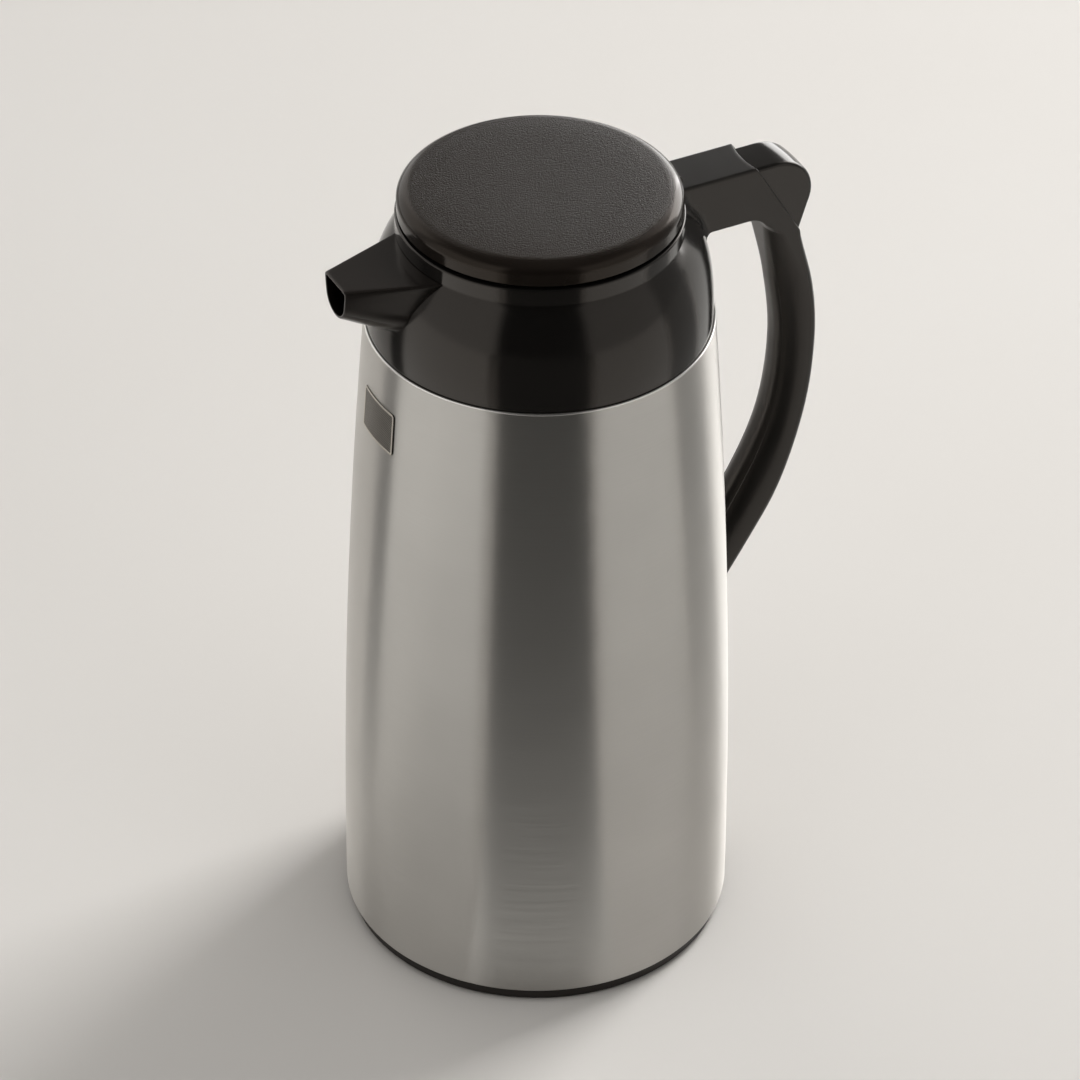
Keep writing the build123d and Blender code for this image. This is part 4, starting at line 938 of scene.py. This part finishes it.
studio = {
    "cameraAzimuth": -117.7,
    # cards on the table: first and last degree round from the camera, how far out in mm they start and are faded in,
    # height over the table, tone where they start and beyond; then the two rings after the start
    "cards": {
        "blackCard": (-25, 31, 85, 270, 0.6, 0.75, 0.08), "slotCard": (-106, -93.5, 220, 420, 0.7, 0.7, 0.06),
        "leftCard": (-92.5, -31, 240, 420, 0.5, 0.4, 1.12), "paleCard": (35, 87, 280, 400, 0.5, 0.54, 0.92),
        "greyCard": (90, 117, 260, 420, 0.5, 0.66, 0.36), "rightCard": (120, 152, 110, 280, 0.5, 0.55, 0.95),
    },
    "cardRings": (400, 5990),
    # first and last degree round from the camera, and the brightness between them
    "round": [(-180, -170, 0.35), (-162, -148, 2.0), (-140, -112, 1.6), (-106, -96, 0.7), (-90, -30, 1.18),
              (-25, 29, 0.02), (34, 84, 0.84), (90, 116, 0.4), (122, 150, 1.9), (160, 180, 0.35)],
    # between these heights of the view's direction it gives way to the colour overhead
    "horizon": (0.61, 0.85), "overhead": (0.09, 0.088, 0.085, 1), "strength": 0.7,
    # degrees round from the camera, degrees up, distance, width, height, watts, and the rays that pass it by
    "lamps": {
        "keyRight": (133, 48, 2.4, 0.7, 1.1, 37, "visible_glossy"),
        "fillTop": (20, 80, 2.4, 1.6, 1.6, 16, "visible_glossy"),
        "windowBehind": (164, 12, 2.0, 0.9, 0.72, 9, "visible_diffuse"),
        "windowRight": (140, 19, 2.0, 1.05, 1.1, 17, "visible_diffuse"),
    },
    "aim": (0, 0, 0.12),
}


def makeWorld():
    # brightness goes by the way round from the camera: two soft boxes beside it, dark behind it
    world = bpy.data.worlds.new("studio")
    bpy.context.scene.world = world
    world.use_nodes = True
    tree = world.node_tree
    tree.nodes.clear()
    direction = addNode(tree, "ShaderNodeTexCoord", {}).outputs["Generated"]
    back = (0, 0, -math.radians(studio["cameraAzimuth"]))
    axes = axesOf(tree, addNode(tree, "ShaderNodeMapping", {"Vector": direction, "Rotation": back}).outputs["Vector"])
    around = ranged(tree, maths(tree, "ARCTAN2", axes["Y"], axes["X"]), 0.0, 1.0, -math.pi, math.pi)
    ramp = addNode(tree, "ShaderNodeValToRGB", {"Fac": around})
    stops = ramp.color_ramp.elements
    marks = [(degrees, level) for first, last, level in studio["round"] for degrees in (first, last)]
    for i, (degrees, level) in enumerate(marks):
        # the ramp comes with its first and last stop
        stop = stops[0] if i == 0 else stops[-1] if i == len(marks) - 1 else stops.new((degrees + 180) / 360)
        stop.color = (level, level * 0.985, level * 0.96, 1)
    height = ranged(tree, axes["Z"], 0.0, 1.0, *studio["horizon"])
    sky = mixed(tree, height, ramp.outputs["Color"], studio["overhead"])
    light = addNode(tree, "ShaderNodeBackground", {"Color": sky, "Strength": studio["strength"]})
    addNode(tree, "ShaderNodeOutputWorld", {"Surface": light.outputs["Background"]})


def addLamp(name, around, elevation, distance, width, height, power, passedBy):
    # area lamp on a sphere round the aim, turned towards it
    a, e = math.radians(studio["cameraAzimuth"] + around), math.radians(elevation)
    aim = Vector(studio["aim"])
    place = aim + distance * Vector((math.cos(e) * math.cos(a), math.cos(e) * math.sin(a), math.sin(e)))
    lamp = bpy.data.lights.new(name, "AREA")
    lamp.shape, lamp.size, lamp.size_y, lamp.energy = "RECTANGLE", width, height, power
    holder = placed(name, lamp)
    holder.location = place
    holder.rotation_euler = (aim - place).to_track_quat("-Z", "Y").to_euler()
    setattr(holder, passedBy, False)


def makeCard(name, first, last, start, faded, height, nearTone, farTone):
    # card on the table, shown only in glossy reflections, as in a studio for steel: a flat fan with points at
    # x = r cos a, y = r sin a
    a = np.radians(studio["cameraAzimuth"] + np.linspace(first, last, 24))[None, :]
    r = np.array((start, *studio["cardRings"]))[:, None]
    mesh = meshOf(name, [(np.stack([r * np.cos(a), r * np.sin(a), height + 0 * r * a], -1), False)])
    card = placed(name, mesh)
    face, tree, place = newMaterial(name + "Face")
    away = addNode(tree, "ShaderNodeVectorMath", {"operation": "LENGTH", 0: place}).outputs["Value"]
    tones = [(tone, tone * 0.985, tone * 0.95, 1) for tone in (nearTone, farTone)]
    tint = mixed(tree, ranged(tree, away, 0.0, 1.0, start * 0.001, faded * 0.001), *tones)
    mesh.materials.append(finished(face, {"Color": tint}, "ShaderNodeEmission"))
    card.visible_camera = card.visible_diffuse = card.visible_shadow = card.visible_transmission = False


makeWorld()
for name, sizes in studio["cards"].items():
    makeCard(name, *sizes)
for name, sizes in studio["lamps"].items():
    addLamp(name, *sizes)

shot = {"place": (-0.7122, -1.3565, 1.2856), "target": (0.000608, -0.000319, 0.150775), "roll": 0.403, "lens": 185.46}


def makeCamera():
    # looks from place to target, level but for a small roll
    place, target = Vector(shot["place"]), Vector(shot["target"])
    data = bpy.data.cameras.new("camera")
    data.lens, data.sensor_width, data.clip_start, data.clip_end = shot["lens"], 36.0, 0.05, 50.0
    camera = placed("camera", data)
    level = (target - place).to_track_quat("-Z", "Y").to_matrix().to_4x4()
    camera.matrix_world = Matrix.Translation(place) @ level @ Matrix.Rotation(math.radians(shot["roll"]), 4, "Z")
    bpy.context.scene.camera = camera


makeCamera()
bpy.context.scene.view_settings.view_transform = "Standard"
print("studio made")
